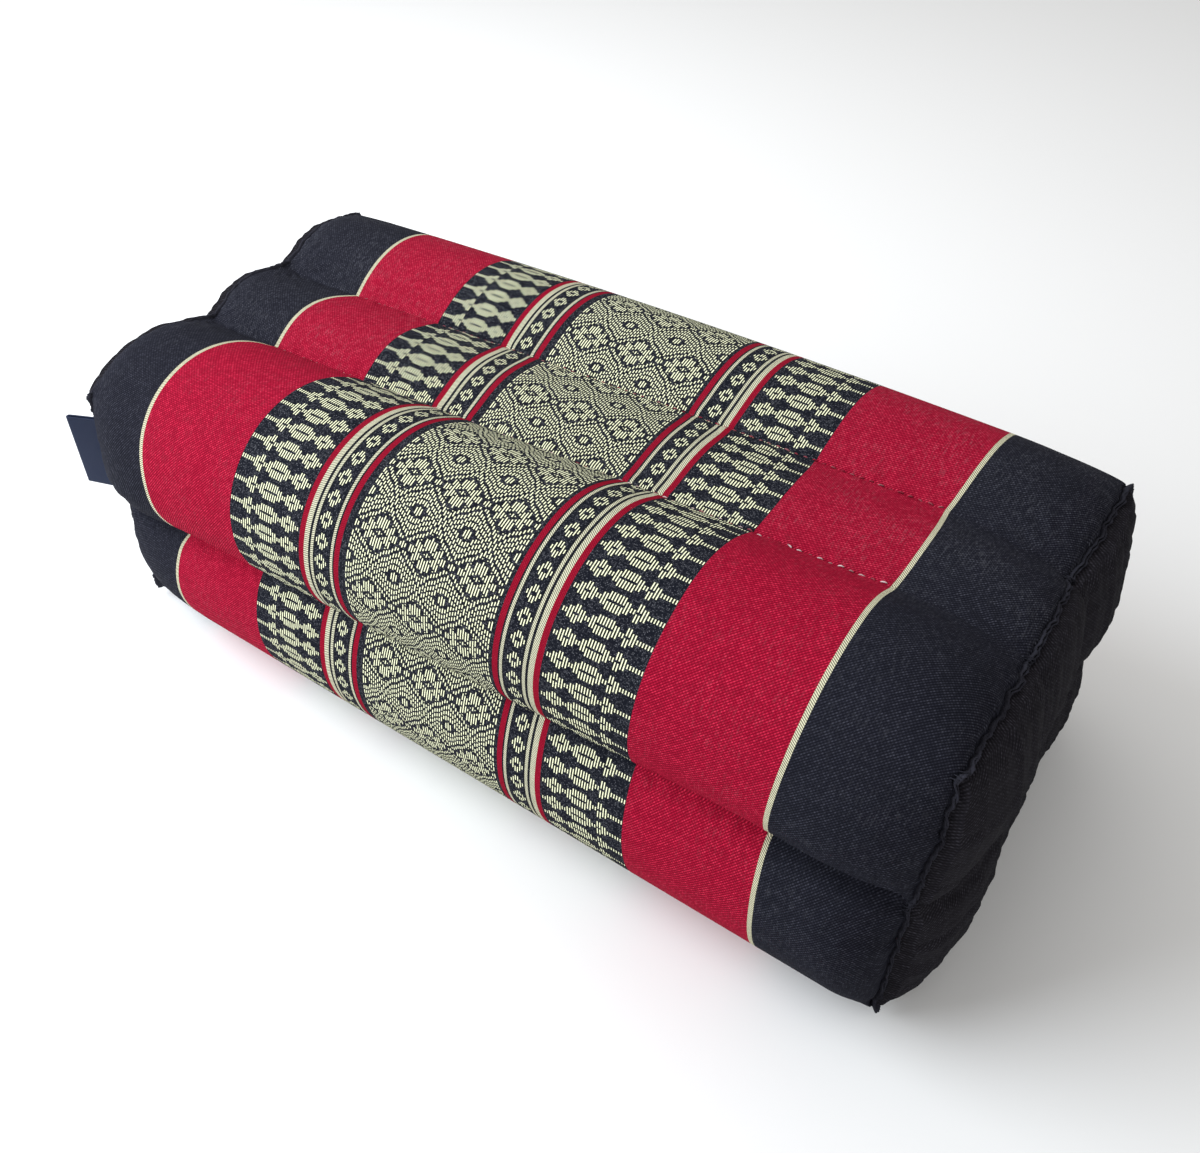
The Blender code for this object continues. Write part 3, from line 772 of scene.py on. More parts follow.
def add_grid(sheet, grid, rim, turn, laid, slot=0):
    """Add a grid of faces whose border is the ring of vertices already there."""
    wide, high = grid.shape[0] - 1, grid.shape[1] - 1
    verts = dict(zip(rim_cells(high // CELLS_UP), rim))
    fresh = [(i, j) for i in range(wide + 1) for j in range(high + 1) if (i, j) not in verts]
    verts.update(zip(fresh, sheet.add([grid[cell] for cell in fresh])))
    for i in range(wide):
        for j in range(high):
            cells = ((i, j), (i + 1, j), (i + 1, j + 1), (i, j + 1))[::turn]
            cloth = [(1000 * grid[cell][1], 1000 * grid[cell][2]) for cell in cells]
            places = [(laid.left + laid.wide * a / wide, laid.low + laid.high * b / high) for a, b in cells]
            sheet.face([verts[cell] for cell in cells], cloth, places, slot)


def make_sleeve(weave, lining):
    """The filled sleeve, closed by the domed filling behind each end panel."""
    left, left_cloth = sleeve_rows(LEFT_END)
    right, right_cloth = sleeve_rows(RIGHT_END)
    rings = left + right[-2::-1]
    cloth = np.array(left_cloth + right_cloth[-2::-1])
    places = cloth_places(cloth)
    rows, around = len(rings), len(rings[0])
    sheet = Sheet()
    verts = [sheet.add(ring) for ring in rings]
    for row in range(rows - 1):
        low, high = row / (rows - 1), (row + 1) / (rows - 1)
        for step in range(around):
            after = (step + 1) % around
            here, there = places[step]
            corners = [verts[row][step], verts[row][after], verts[row + 1][after], verts[row + 1][step]]
            uv = [here[row], there[row], there[row + 1], here[row + 1]]
            one, two = 0.90 * step / around, 0.90 * (step + 1) / around
            sheet.face(corners, uv, [(low, one), (low, two), (high, two), (high, one)])
    for end, edge, turn, corner in ((LEFT_END, verts[0], 1, 0.0), (RIGHT_END, verts[-1], -1, 0.52)):
        root = sheet.add(lip_ring(end, -SEAM_GAP / 2, SLEEVE_PLACES))
        add_strip(sheet, root, edge, turn, Layout(corner, 0.91, 0.48, 0.01))
        grid, normal = panel_sheet(end, CELL_STEPS)
        add_grid(sheet, grid - normal * SEAM_GAP / 2, root, -turn, Layout(corner, 0.93, 0.48, 0.07), slot=1)
    return sheet.build("sleeve", [weave, lining], layout=True)


def make_panel(name, node, end, weave):
    """One end panel: a domed sheet, its outer and inner faces joined round the seam."""
    sheet = Sheet()
    grid, normal = panel_sheet(end, PANEL_STEPS)
    places = crowded(PANEL_STEPS)
    inner = sheet.add(lip_ring(end, SEAM_GAP / 2, places))
    outer = sheet.add(lip_ring(end, SEAM_GAP / 2 + LIP_THICK, places))
    turn = int(end.side)
    add_grid(sheet, grid + normal * SEAM_GAP / 2, inner, -turn, Layout(0, 0.49, 1, 0.47))
    add_grid(sheet, grid + normal * (SEAM_GAP / 2 + PANEL_THICK), outer, turn, Layout(0, 0, 1, 0.48))
    add_strip(sheet, inner, outer, turn, Layout(0, 0.97, 1, 0.02))
    panel = sheet.build(name, [weave], layout=True)
    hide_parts(node)
    return panel


# Section of one lip of a seam ridge, in shares of its thickness and height
LIP_PROFILE = ((-0.50, -0.45), (-0.60, 0.15), (-0.56, 0.60), (-0.30, 0.94),
               (0.30, 0.94), (0.56, 0.60), (0.60, 0.15), (0.50, -0.45))
BEAD = 0.95                # pitch of the stitches that notch the lips, in millimetres
ROPE = 9.2                 # length of one turn where the two lips twist about each other
ROPE_CELLS = (7.15, 9.75)  # the stretch round the ring over which they do
ROPE_STARTS, ROPE_STOPS = 0.3, 0.2     # cells over which the twist starts and stops
ROPE_SWING = 0.00030
RIDGE_SWAY = 0.00025
EAR_CLOSE = 600            # the two lips close up where an ear rises, for each metre of its height

# A lip's thickness and height round the ring, in shares of the full ones: the least, what each
# bead adds, and how much they stray in irregular waves of that length in millimetres
Uneven = namedtuple("Uneven", "least bead stray wave")
THICKNESS = Uneven(0.86, 0.30, 0.12, 4)
HEIGHT = Uneven(0.80, 0.13, 0.16, 6)
BEAD_STRAY, BEAD_WAVE = 0.3, 5         # how far the beads stray, in their pitch, and its wave
RIDGE_WAVE = 11


def uneven(kind, bead, closed, length, seed):
    """The share of a lip's full size at each place round the ring."""
    return kind.least + kind.bead * bead + kind.stray * closed * wander(length, kind.wave, seed)


def make_ridge(name, end, weave):
    """The ridge of an end seam: two thin lips notched by stitches, twisted together on the near
    side, with threads tied over them at the creases."""
    sheet = Sheet()
    places = np.arange(CELLS * RIDGE_STEPS) / RIDGE_STEPS
    ring, up, through = lip_frame(end, places)
    length = 1000 * np.concatenate(([0], np.cumsum(np.linalg.norm(np.diff(ring, axis=0), axis=1))))
    start, stop = ROPE_CELLS
    twisted = (np.clip((places - start) / ROPE_STARTS, 0, 1)
               * np.clip((stop - places) / ROPE_STOPS, 0, 1))
    closed = closing(places)
    turn = 2 * math.pi * length / ROPE
    ears = spots(end, "ear", EAR_REACH, places)
    full = LIP_HIGH + ears
    sway = RIDGE_SWAY * closed * wander(length, RIDGE_WAVE, 91)
    for lip, seed in ((-1, 92), (1, 95)):
        phase = length / BEAD + BEAD_STRAY * wander(length, BEAD_WAVE, seed)
        bead = 0.5 + 0.5 * np.cos(2 * math.pi * phase)
        thick = LIP_THICK * uneven(THICKNESS, bead, closed, length, seed + 1)
        high = full * uneven(HEIGHT, bead, closed, length, seed + 2)
        high = high + lip * twisted * ROPE_SWING * np.sin(turn)
        flat = (1 - twisted) * (1 - EAR_CLOSE * ears) * (SEAM_GAP + LIP_THICK) / 2
        beside = flat + twisted * ROPE_SWING * np.cos(turn)
        rings = []
        for across, share in LIP_PROFILE:
            aside = sway + lip * beside + across * thick
            rings.append(sheet.add(above_floor(
                ring + (share * high)[:, None] * up + aside[:, None] * through)))
        for first, second in zip(rings, rings[1:] + rings[:1]):
            for step in range(len(first)):
                after = (step + 1) % len(first)
                sheet.face([first[step], second[step], second[after], first[after]][::int(end.side)])
    for cell in SEAM_CREASES + (TOP_CORNER_NEAR,):
        tie_threads(sheet, end, cell)
    ridge = sheet.build(name, [weave], sharp=180)
    return ridge


# The threads tied over a ridge, in metres but for their number and spread. A pair is the least of a
# measure, and the most that chance adds to it.
TIED = 6
TIED_SPREAD = 0.022        # in cells round the ring
TIED_LEAN = 0.00045
TIED_SLANT = 0.0012
TIED_SLEEVE = (-0.0011, -0.0016)       # reach over the sleeve
TIED_PANEL = (0.0010, 0.0012)          # and over the panel
TIED_ABOVE = 0.0003        # their crown stands this much above the lips
TIED_SUNK = 0.0002         # and their ends lie this deep
TIED_THICK = (0.00012, 0.00008)


def tie_threads(sheet, end, cell):
    """A few threads drawn over the ridge where a sewn line or a corner meets it."""
    draw = np.random.default_rng(200 + cell)
    for _ in range(TIED):
        aside = TIED_LEAN * draw.standard_normal()
        place = np.array([cell + TIED_SPREAD * draw.standard_normal()])
        (ring,), (up,), (through,) = lip_frame(end, place)
        tangent = np.cross(up, through)
        left, right = [least + more * draw.random() for least, more in (TIED_SLEEVE, TIED_PANEL)]
        slant = TIED_SLANT * draw.random()
        line = []
        for share in np.linspace(0, 1, 9):
            across = left + (right - left) * share
            arch = math.sin(math.pi * share)
            high = (LIP_HIGH + TIED_ABOVE) * arch ** 0.7 - TIED_SUNK
            lean = aside * arch + slant * (share - 0.5)
            line.append(ring + across * through + high * up + lean * tangent)
        add_strand(sheet, above_floor(np.array(line)), TIED_THICK[0] + TIED_THICK[1] * draw.random())


STRAND_SIDES = 6


def add_strand(sheet, line, radius):
    """A round thread along a line of points, drawn to a point at both ends."""
    tangent = np.gradient(line, axis=0)
    tangent /= np.linalg.norm(tangent, axis=1)[:, None]
    side = np.cross(tangent, np.array((0.3, 0.2, 0.93)))
    side /= np.linalg.norm(side, axis=1)[:, None]
    over = np.cross(tangent, side)
    turns = 2 * math.pi * np.arange(STRAND_SIDES) / STRAND_SIDES
    rings = []
    for step in range(1, len(line) - 1):
        thick = radius * math.sin(math.pi * step / (len(line) - 1)) ** 0.4
        around = np.outer(np.cos(turns), side[step]) + np.outer(np.sin(turns), over[step])
        rings.append(sheet.add(line[step] + thick * around))
    start, stop = sheet.add([line[0], line[-1]])
    for number in range(STRAND_SIDES):
        after = (number + 1) % STRAND_SIDES
        sheet.face([start, rings[0][after], rings[0][number]])
        sheet.face([stop, rings[-1][number], rings[-1][after]])
    for first, second in zip(rings, rings[1:]):
        add_strip(sheet, first, second)


# The stitches that sew the channels, in metres
STITCH_PITCH = 0.0033
STITCH_LONG = 0.0021
STITCH_THICK = 0.00026
STITCH_SUNK = 0.0009       # where a crease is sharp, its stitches lie this deep in the cloth
STITCH_START = -0.120
STITCH_END = 0.122
STITCHED_CELLS = (0, 1, 5, 6)
STITCH_LEAN = 0.0004
STITCH_ARCH = 1.2          # a stitch's rise in the middle, in shares of its thickness


def sewn_paths():
    """For each stitched line, its points and the directions out of the cloth, by station."""
    stations = np.linspace(STITCH_START - STITCH_LONG, STITCH_END + STITCH_LONG, 160)
    wanted = [int(np.argmin(np.abs(from_cell(cell, SLEEVE_PLACES)))) for cell in STITCHED_CELLS]
    rows = []
    for x in stations:
        ring = np.column_stack((np.full(len(SLEEVE_PLACES), x), filled_ring(x)))
        normal = section_normal(ring)
        ring[:, 1:] += sewn_relief(ring[:, 0], abs(LEFT_X))[:, None] * normal
        rows.append(np.column_stack((ring[wanted], normal[wanted])))
    return np.array(rows).transpose(1, 2, 0)


def make_stitches(thread):
    """A row of short stitches along each sewn line of the top and the underside."""
    sheet = Sheet()
    for cell, path in zip(STITCHED_CELLS, sewn_paths()):
        draw = np.random.default_rng(300 + cell)
        for station in np.arange(STITCH_START, STITCH_END, STITCH_PITCH):
            long = STITCH_LONG * (0.8 + 0.35 * draw.random())
            lift = STITCH_THICK * (0.5 * draw.random() - 0.35)
            lean = STITCH_LEAN * draw.standard_normal()
            line = []
            for share in np.linspace(0, 1, 7):
                x = station + long * (share - 0.5)
                y, z, out_y, out_z = [np.interp(x, path[0], row) for row in path[1:]]
                sunk = STITCH_SUNK * (SOFT_CREASE_RIGHT - softness(x))
                rise = lift - sunk + STITCH_ARCH * STITCH_THICK * math.sin(math.pi * share)
                swing = lean * (share - 0.5)
                line.append((x, y + rise * out_y - swing * out_z, z + rise * out_z + swing * out_y))
            add_strand(sheet, above_floor(np.array(line)), STITCH_THICK)
    stitches = sheet.build("channel_stitches", [thread], sharp=180)


LABEL_TAPER = 0.14         # the ribbon stands out this much less at its upper edge
LABEL_CURL = 0.0016
LABEL_SAG = 0.0006
LABEL_ROOT = 0.002         # length of the ribbon's straight start at the seam
LABEL_CLOSE = 0.004        # the seam this far above and below the ribbon sets where it starts
LABEL_LEVELS = 25
FOLD_STEPS = 12


def make_label(ribbon):
    """The folded ribbon that stands out of the left seam: two layers and a round fold."""
    half = LABEL_SPACE / 2
    outer = half + LABEL_PLY
    bend = LABEL_PROUD - outer
    turn = [math.pi * (step / FOLD_STEPS - 1 / 2) for step in range(FOLD_STEPS + 1)]
    outline = [(out, -outer) for out in (-LABEL_ROOT, -LABEL_ROOT / 2, 0)]
    outline += [(bend + outer * math.cos(angle), outer * math.sin(angle)) for angle in turn]
    outline += [(out, outer) for out in (0, -LABEL_ROOT / 2, -LABEL_ROOT)]
    outline += [(-LABEL_ROOT, half), (0, half)]
    outline += [(bend + half * math.cos(angle), half * math.sin(angle)) for angle in turn[::-1]]
    outline += [(0, -half), (-LABEL_ROOT, -half)]
    aim = np.array((math.cos(LABEL_AIM), math.sin(LABEL_AIM)))
    square = np.array((-aim[1], aim[0]))
    around = np.arange(8 * CELLS) / 8
    crest = np.concatenate([lip_ring(LEFT_END, side * LIP_THICK, around, 1) for side in (-1, 1)])
    beside = crest[(crest[:, 1] < 0) & (crest[:, 2] > LABEL_LOW - LABEL_CLOSE)
                   & (crest[:, 2] < LABEL_LOW + LABEL_LONG + LABEL_CLOSE)]
    centre = beside[:, :2].mean(axis=0)
    start = centre + aim * (max((beside[:, :2] - centre) @ aim) + SEAM_GAP)
    sheet = Sheet()
    rows = []
    for level in np.linspace(0, 1, LABEL_LEVELS):
        points = []
        for out, across in outline:
            reach = max(out, 0) / LABEL_PROUD
            curl = LABEL_CURL * reach ** 2 * (level - 0.3)
            place = start + aim * out * (1 - LABEL_TAPER * level) + square * (across + curl)
            points.append((place[0], place[1], LABEL_LOW + LABEL_LONG * level + LABEL_SAG * reach))
        rows.append(sheet.add(points))
    for low, high in zip(rows, rows[1:]):
        add_strip(sheet, low, high)
    sheet.face(rows[0][::-1])
    sheet.face(rows[-1])
    label = sheet.build("ribbon_tab", [ribbon])
    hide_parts("label")


def arithmetic(operation, turned=False):
    """A method that adds one step of arithmetic on a value and another value or number."""
    def step(self, other):
        return self.nodes.math(operation, *((other, self) if turned else (self, other)))
    return step


class Value:
    """The output of a node, which sums, products and the like turn into further nodes."""

    def __init__(self, nodes, socket):
        self.nodes = nodes
        self.socket = socket

    __add__ = arithmetic("ADD")
    __radd__ = arithmetic("ADD", turned=True)
    __sub__ = arithmetic("SUBTRACT")
    __rsub__ = arithmetic("SUBTRACT", turned=True)
    __mul__ = arithmetic("MULTIPLY")
    __truediv__ = arithmetic("DIVIDE")
    __pow__ = arithmetic("POWER")

    def __abs__(self):
        return self.nodes.math("ABSOLUTE", self)


class Nodes:
    """A material's nodes, added by short calls that take and return values."""

    def __init__(self, name, roughness):
        self.material = bpy.data.materials.new(name)
        self.material.use_nodes = True
        self.tree = self.material.node_tree
        self.shader = self.tree.nodes["Principled BSDF"]
        self.shader.inputs["Roughness"].default_value = roughness

    def feed(self, socket, value):
        """Link a socket to a value, or set it to a number or colour."""
        if isinstance(value, Value):
            self.tree.links.new(value.socket, socket)
        elif hasattr(value, "__len__") and len(value) == 3 and len(socket.default_value) == 4:
            socket.default_value = (*value, 1)
        else:
            socket.default_value = value

    def node(self, kind, values, output=0, **settings):
        """Add a node with these settings and values on its inputs, and return one of its outputs."""
        node = self.tree.nodes.new("ShaderNode" + kind)
        for name, setting in settings.items():
            setattr(node, name, setting)
        for place, value in values.items():
            self.feed(node.inputs[place], value)
        return Value(self, node.outputs[output])

    def math(self, operation, *values):
        """One step of arithmetic."""
        return self.node("Math", dict(enumerate(values)), operation=operation)

    def between(self, value, low, high):
        """1 where a value lies between two others, else 0."""
        return self.math("COMPARE", value, (low + high) / 2, (high - low) / 2)

    def clamp(self, value):
        """A value kept from 0 to 1."""
        return self.node("Clamp", {"Value": value})

    def blend(self, share, first, second):
        """A colour that share of the way from the first to the second."""
        return self.node("Mix", {"Factor": share, 6: first, 7: second}, 2, data_type="RGBA")

    def scaled(self, colour, value):
        """A colour made brighter or darker by a value."""
        return self.node("VectorMath", {0: colour, "Scale": value}, operation="SCALE")

    def hump(self, phase):
        """A smooth wave from 0 to 1, one for each whole number of the phase."""
        return self.math("SINE", phase * (2 * math.pi)) * 0.5 + 0.5

    def wave(self, value, period):
        """The height of a wave without its sign."""
        return abs(self.math("SINE", value * (2 * math.pi / period)))

    def random(self, x, y):
        """A number from 0 to 1 for each square of a grid of unit squares."""
        square = self.joined(self.math("FLOOR", x), self.math("FLOOR", y))
        return self.node("TexWhiteNoise", {"Vector": square}, noise_dimensions="2D")

    def split(self, vector):
        """The three parts of a colour or vector."""
        first = self.node("SeparateXYZ", {0: vector})
        return [Value(self, socket) for socket in first.socket.node.outputs]

    def joined(self, x, y):
        """A vector of two values and 0."""
        return self.node("CombineXYZ", {0: x, 1: y})

    def chart(self, number, rows):
        """The row of a short table of colours at a whole number."""
        colour = self.node("ValToRGB", {0: (number + 0.5) / len(rows)})
        ramp = colour.socket.node.color_ramp
        ramp.interpolation = "CONSTANT"
        ramp.elements.remove(ramp.elements[1])
        for place, row in enumerate(rows):
            element = ramp.elements.new(place / len(rows)) if place else ramp.elements[0]
            element.color = (*row, 1)
        return colour

    def noise(self, vector, scale, detail=2.0):
        """Soft noise about 0.5."""
        return self.node("TexNoise", {"Vector": vector, "Scale": scale, "Detail": detail})

    def cloth(self):
        """Places on the cloth in millimetres, along the cushion and round it."""
        return self.split(self.node("UVMap", {}, uv_map="Cloth"))[:2]

    def object_place(self):
        """Places in the object's own space, in metres."""
        return self.node("TexCoord", {}, "Object")

    def relief(self, height, metres):
        """Give the surface a relief that deep."""
        self.feed(self.shader.inputs["Normal"], self.node("Bump", {"Distance": metres, "Height": height}))

    def finish(self, colour, gloss=0.06):
        """Set the colour, and how much of a gloss is on it."""
        self.feed(self.shader.inputs["Base Color"], colour)
        self.shader.inputs["Specular IOR Level"].default_value = gloss
        return self.material


def chart_numbers():
    """The rows of the field's chart, each as a few whole numbers whose binary digits are its marks.
    They are given as shares of the largest, because a colour ramp holds them."""
    rows = []
    for text in FIELD_CHART:
        groups = [text[start:start + GROUP_MARKS] for start in range(0, len(text), GROUP_MARKS)]
        rows.append([sum(2 ** place for place, mark in enumerate(group) if mark == "#") / GROUP_SPAN
                     for group in groups])
    return rows


def chart_mark(nodes, parts, pick):
    """1 where the chart has a float at a whole pick, else 0."""
    group = nodes.math("FLOOR", (pick + 0.5) / GROUP_MARKS)
    number = sum(part * nodes.between(group, place - 0.5, place + 0.5)
                 for place, part in enumerate(parts))
    place = pick - group * GROUP_MARKS
    shifted = number * GROUP_SPAN / nodes.math("POWER", 2, place)
    return nodes.math("FLOORED_MODULO", nodes.math("FLOOR", shifted + 0.01), 2)


def field_floats(nodes, length, girth):
    """Height of the floats of the field, 0 to 1, and the place across their thread."""
    strand = (length - FIELD_MIDDLE) / THREAD
    thread = nodes.math("ROUND", strand)
    row = nodes.math("PINGPONG", thread, len(FIELD_CHART) - 1)
    parts = nodes.split(nodes.chart(row, chart_numbers()))
    pick = nodes.math("PINGPONG", girth / PICK, len(FIELD_CHART[0]) - 1)
    low = nodes.math("FLOOR", pick)
    share = nodes.math("FRACT", pick)
    cover = chart_mark(nodes, parts, low) * (1 - share) + chart_mark(nodes, parts, low + 1) * share
    inside = nodes.between(abs(thread), -0.5, FIELD_THREADS + 0.5)
    return cover * inside, strand - thread


def chart_floats(nodes, away, girth, chart, start, pitch, slit):
    """Height of the floats of a row of motifs charted by letters, and the place across."""
    strand = (away - start) / pitch
    thread = nodes.math("FLOOR", strand)
    kinds = {"S": (LAID_SHORT, 0), "M": (LAID_MEDIUM, 0), "T": (LAID_LONG, slit)}
    rows = [(kinds[letter][0] / RAMP_MOST, kinds[letter][1], 0) for letter in chart]
    half, open_half, _ = nodes.split(nodes.chart(thread, rows))
    distance = nodes.math("PINGPONG", girth / PICK - HALF_MOTIF, HALF_MOTIF) * PICK
    ends = nodes.clamp((half * RAMP_MOST - distance) / FLOAT_END + 0.5)
    beyond_slit = nodes.clamp((distance - open_half) / SLIT_END + 0.5)
    inside = nodes.between(thread, -0.5, len(chart) - 0.5)
    return ends * beyond_slit * inside, nodes.math("FRACT", strand) - 0.5


def sleeve_weave():
    """The patterned cloth: bands across the cushion, with raised cream floats in three of them."""
    nodes = Nodes("sleeve_weave", 0.85)
    flat_length, flat_girth = nodes.cloth()
    place = nodes.joined(flat_length, flat_girth)
    length = flat_length + (nodes.noise(place, 0.04) - 0.5) * STRAY
    girth = flat_girth + (nodes.noise(place, 0.035) - 0.5) * STRAY
    away = abs(length)
    band = sum(nodes.math("GREATER_THAN", away, row.start) for row in BANDS[1:])
    colour = nodes.chart(band, [row.colour for row in BANDS])
    plain, slant, dotted = nodes.split(nodes.chart(band, [WEAVES[row.weave] for row in BANDS]))

    # Three reliefs: plain weave, slanted twill and the dotted ground of the pattern
    dashes = plain_weave(nodes, length, girth)
    twill = nodes.hump(girth / PLY_PITCH + away / PLY_SLANT)
    loose = length + (nodes.noise(place, 0.9) - 0.5) * (2 * STRAY)
    chance = nodes.random(loose / (THREAD / 2), girth / PICK)
    dots = nodes.wave(loose, THREAD) ** 1.5 * nodes.wave(girth, 2 * PICK) ** 1.5 * chance ** 3

    # The raised floats
    field, field_across = field_floats(nodes, length, girth)
    column, column_across = chart_floats(nodes, away, girth, COLUMN_CHART, COLUMN_START, THREAD, SLIT)
    flower, flower_across = chart_floats(
        nodes, away, girth, FLOWER_CHART, FLOWER_START, FLOWER_PITCH, FLOWER_SLIT)
    in_field = nodes.math("LESS_THAN", away, FIELD_BAND)
    in_flower = nodes.between(away, *FLOWER_BAND)
    in_column = nodes.math("GREATER_THAN", away, COLUMN_BAND)
    cover = field + column * in_column + flower * in_flower
    across = column_across * in_column + flower_across * in_flower + field_across * in_field
    aside = abs(across)
    core = nodes.clamp((CORE_EDGE - aside) / CORE_FADE)
    raised = nodes.clamp((cover - COVER_EDGE) / COVER_FADE)
    laid = raised * nodes.clamp((FLOAT_EDGE - aside) / FLOAT_FADE)

    # The ground's colour in soft patches of its own tone, with painted shade from its relief, and on top
    # lint and a painted sheen on the crests of the weave and on the far channels, under the floats
    patches = nodes.noise(place, 0.25, 3.0)
    shade = plain * (0.55 + dashes * 1.2 - 1) + 1
    shade = shade * (1 - slant * 0.85 * (1 - twill)) * (0.84 + patches * 0.32)
    # Painted sheen: the far channels and the crests of the weave are painted paler, as in grazing light
    far = nodes.clamp((girth - FAR_SHEEN_START) / FAR_SHEEN_FADE)
    lint_and_sheen = (streaks(nodes, flat_length, flat_girth) * (0.04 + far * 0.04)
             + dashes * dashes * (0.035 + far * 0.025))
    specks_lint_and_sheen = nodes.clamp(dots * dotted * 0.40 + lint_and_sheen * plain)
    ground = nodes.blend(specks_lint_and_sheen, nodes.scaled(colour, shade), LINT_AND_SHEEN)
    round_thread = 1 - aside * aside * 4
    nodes.relief(laid * round_thread * 1.2 + plain * dashes * 0.4
                 + slant * twill * 0.6 + dots * dotted * 0.4, WEAVE_RELIEF)
    return nodes.finish(nodes.blend(laid, ground, nodes.blend(core, CREAM_PAINTED_SHADE, CREAM)), 0.03)


def plain_weave(nodes, length, girth):
    """Height of the slanted rows of dashes that a plain cloth shows, 0 to about 1.5."""
    aslant = (length - girth) / DASH_PITCH
    crossing = (length + girth) / DASH_LONG
    grain = nodes.random(aslant + 0.25, crossing + 0.25)
    broken = nodes.hump(crossing) * 0.6 + 0.4
    return nodes.hump(aslant) * broken * (grain * grain * 0.9 + 0.65)


def streaks(nodes, length, girth):
    """Pale worn threads round the cushion, in patches, 0 to 1."""
    worn = nodes.noise(nodes.joined(length * 2.1, girth * 0.25), 1.0, 1.0)
    patches = nodes.noise(nodes.joined(length, girth), 0.05)
    return nodes.clamp((worn - 0.50) / 0.22) * nodes.clamp((patches - 0.30) / 0.4)


def end_weave():
    """Plain near-black cotton, with pale flecks of lint, painted shade between its threads and a painted
    sheen on their crests.
    """
    nodes = Nodes("end_weave", 0.9)
    length, girth = nodes.cloth()
    dashes = plain_weave(nodes, length, girth)
    patches = nodes.noise(nodes.joined(length, girth), 0.2, 3.0)
    shade = (0.55 + dashes * 1.3) * (0.8 + patches * 0.4)
    # Lint streaks, and a painted sheen on the crests of the weave
    lint_and_sheen = (streaks(nodes, girth, length) + dashes * dashes) * 0.02
    nodes.relief(dashes, WEAVE_RELIEF / 2)
    return nodes.finish(nodes.blend(lint_and_sheen, nodes.scaled(PANEL_BLACK, shade), LINT_AND_SHEEN))


def ridge_weave():
    """The folded edge of the same dark cotton along the seams, painted lighter than the panels as a
    highlight along the ridge.
    """
    nodes = Nodes("ridge_weave", 0.9)
    place = nodes.object_place()
    fibres = nodes.noise(place, 1500, 3.0)
    patches = nodes.noise(place, 150, 2.0)
    nodes.relief(fibres + patches, 0.0003)
    return nodes.finish(nodes.scaled(RIDGE_BLACK_HIGHLIT, 0.1 + patches * 0.9 + fibres * 0.9))


def ribbon_cloth():
    """Dark blue ribbon with fine ribs across it, painted lighter on their crests and darker between them as
    highlight and shade.
    """
    nodes = Nodes("ribbon", 0.6)
    height = nodes.split(nodes.object_place())[2]
    ribs = nodes.math("SINE", height * (2 * math.pi / RIBBON_RIB))
    nodes.relief(ribs, RIBBON_RIB / 10)
    # Painted highlight on each rib's crest and painted shade between the ribs
    return nodes.finish(nodes.scaled(RIBBON_BLUE, 1 + ribs * 0.15), 0.2)


def stitch_thread():
    """Sewing thread, each stitch of its own shade between dull red and pale."""
    nodes = Nodes("stitch_thread", 0.8)
    place = nodes.object_place()
    x, y, _ = nodes.split(place)
    number = (x - (STITCH_START - STITCH_PITCH / 2)) / STITCH_PITCH
    near = nodes.math("LESS_THAN", y, 0) * 0.8 + 0.2
    bright = near * nodes.random(number, y / 0.02) ** 1.6
    fibres = nodes.noise(place, 2500)
    nodes.relief(fibres, 0.00008)
    return nodes.finish(nodes.scaled(nodes.blend(bright, THREAD_RED, THREAD_PALE), 0.6 + fibres * 0.7))


def lining_cloth():
    """Dark cotton over the filling behind the end panels, which nothing shows."""
    nodes = Nodes("lining", 0.95)
    fibres = nodes.noise(nodes.object_place(), 900, 3.0)
    return nodes.finish(nodes.scaled(LINING, 0.7 + fibres * 0.5))


FLOOR_REACH = 6.0
FLOOR_LEVEL = -0.0002      # just under the flat of the cushion, so that the two don't coincide


def make_floor():
    """A plain pale floor."""
    data = bpy.data.meshes.new("floor")
    corners = [(across * FLOOR_REACH, deep * FLOOR_REACH, FLOOR_LEVEL)
               for across, deep in ((-1, -1), (1, -1), (1, 1), (-1, 1))]
    data.from_pydata(corners, [], [(0, 1, 2, 3)])
    floor = bpy.data.objects.new("floor", data)
    bpy.context.scene.collection.objects.link(floor)
    nodes = Nodes("floor", 0.9)
    data.materials.append(nodes.finish((0.90, 0.90, 0.90)))


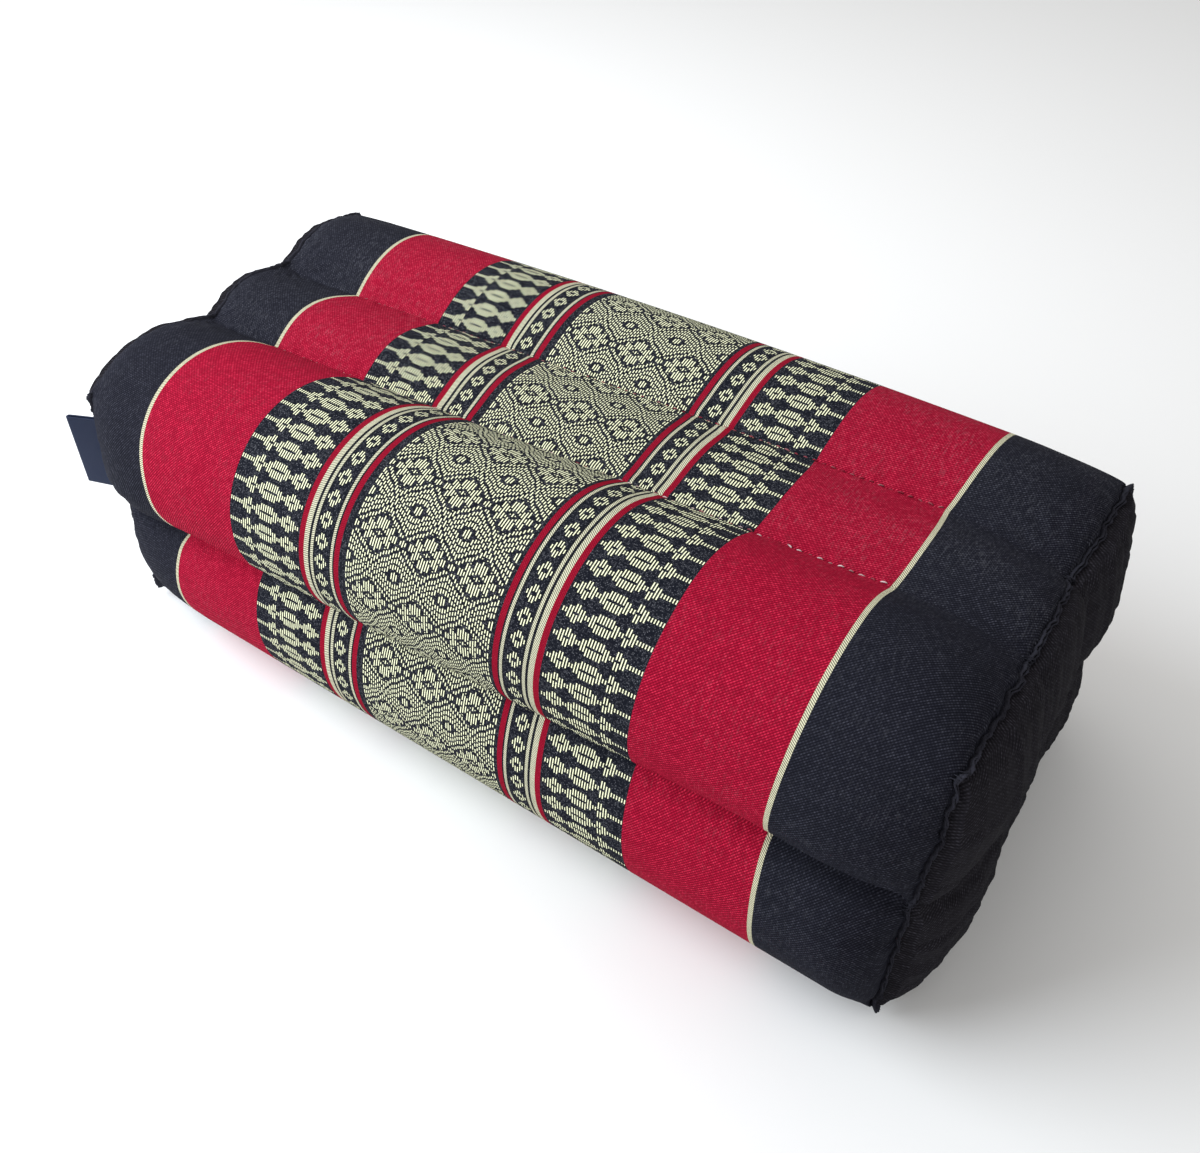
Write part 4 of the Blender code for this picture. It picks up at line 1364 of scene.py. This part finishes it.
def add_lamp(name, place, size, watts, colour):
    """A round soft lamp aimed at the cushion."""
    lamp = bpy.data.lights.new(name, "AREA")
    lamp.shape = "DISK"
    lamp.size = size
    lamp.energy = watts
    lamp.color = colour
    thing = bpy.data.objects.new(name, lamp)
    thing.location = place
    aim = Vector((0, 0, 0.05)) - thing.location
    thing.rotation_euler = aim.to_track_quat("-Z", "Y").to_euler()
    bpy.context.scene.collection.objects.link(thing)


def make_light():
    """Soft light from all round, a broad lamp from the front left and another overhead."""
    world = bpy.data.worlds.new("studio")
    world.use_nodes = True
    back = world.node_tree.nodes["Background"]
    back.inputs["Color"].default_value = (1.0, 0.99, 0.97, 1)
    back.inputs["Strength"].default_value = 0.56
    bpy.context.scene.world = world
    add_lamp("key", (-0.75, -0.50, 0.62), 0.9, 16.5, (0.90, 0.95, 1.0))
    add_lamp("overhead", (-0.40, 0.15, 1.00), 1.0, 2.5, (1.0, 0.99, 0.97))


def make_camera():
    """The camera at the photograph's viewing angle."""
    data = bpy.data.cameras.new("camera")
    data.sensor_width = 36.0
    data.lens = 34.355
    data.clip_start = 0.01
    camera = bpy.data.objects.new("camera", data)
    right = Vector((0.8248, 0.5652, 0.0151)).normalized()
    forward = Vector((-0.4013, 0.6040, -0.6886)).normalized()
    up = right.cross(forward).normalized()
    right = forward.cross(up)
    turn = Matrix((right, up, -forward)).transposed()
    camera.matrix_world = Matrix.Translation((0.184491, -0.261382, 0.341585)) @ turn.to_4x4()
    bpy.context.scene.collection.objects.link(camera)
    bpy.context.scene.camera = camera


def main():
    bpy.context.scene.view_settings.view_transform = "Standard"
    dark = end_weave()
    lips = ridge_weave()
    sleeve = make_sleeve(sleeve_weave(), lining_cloth())
    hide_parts("body")
    for word, end in (("left", LEFT_END), ("right", RIGHT_END)):
        panel = make_panel("panel_" + word, "end_panel_" + word, end, dark)
        ridge = make_ridge("seam_ridge_" + word, end, lips)
    make_stitches(stitch_thread())
    make_label(ribbon_cloth())
    make_floor()
    make_light()
    make_camera()


main()
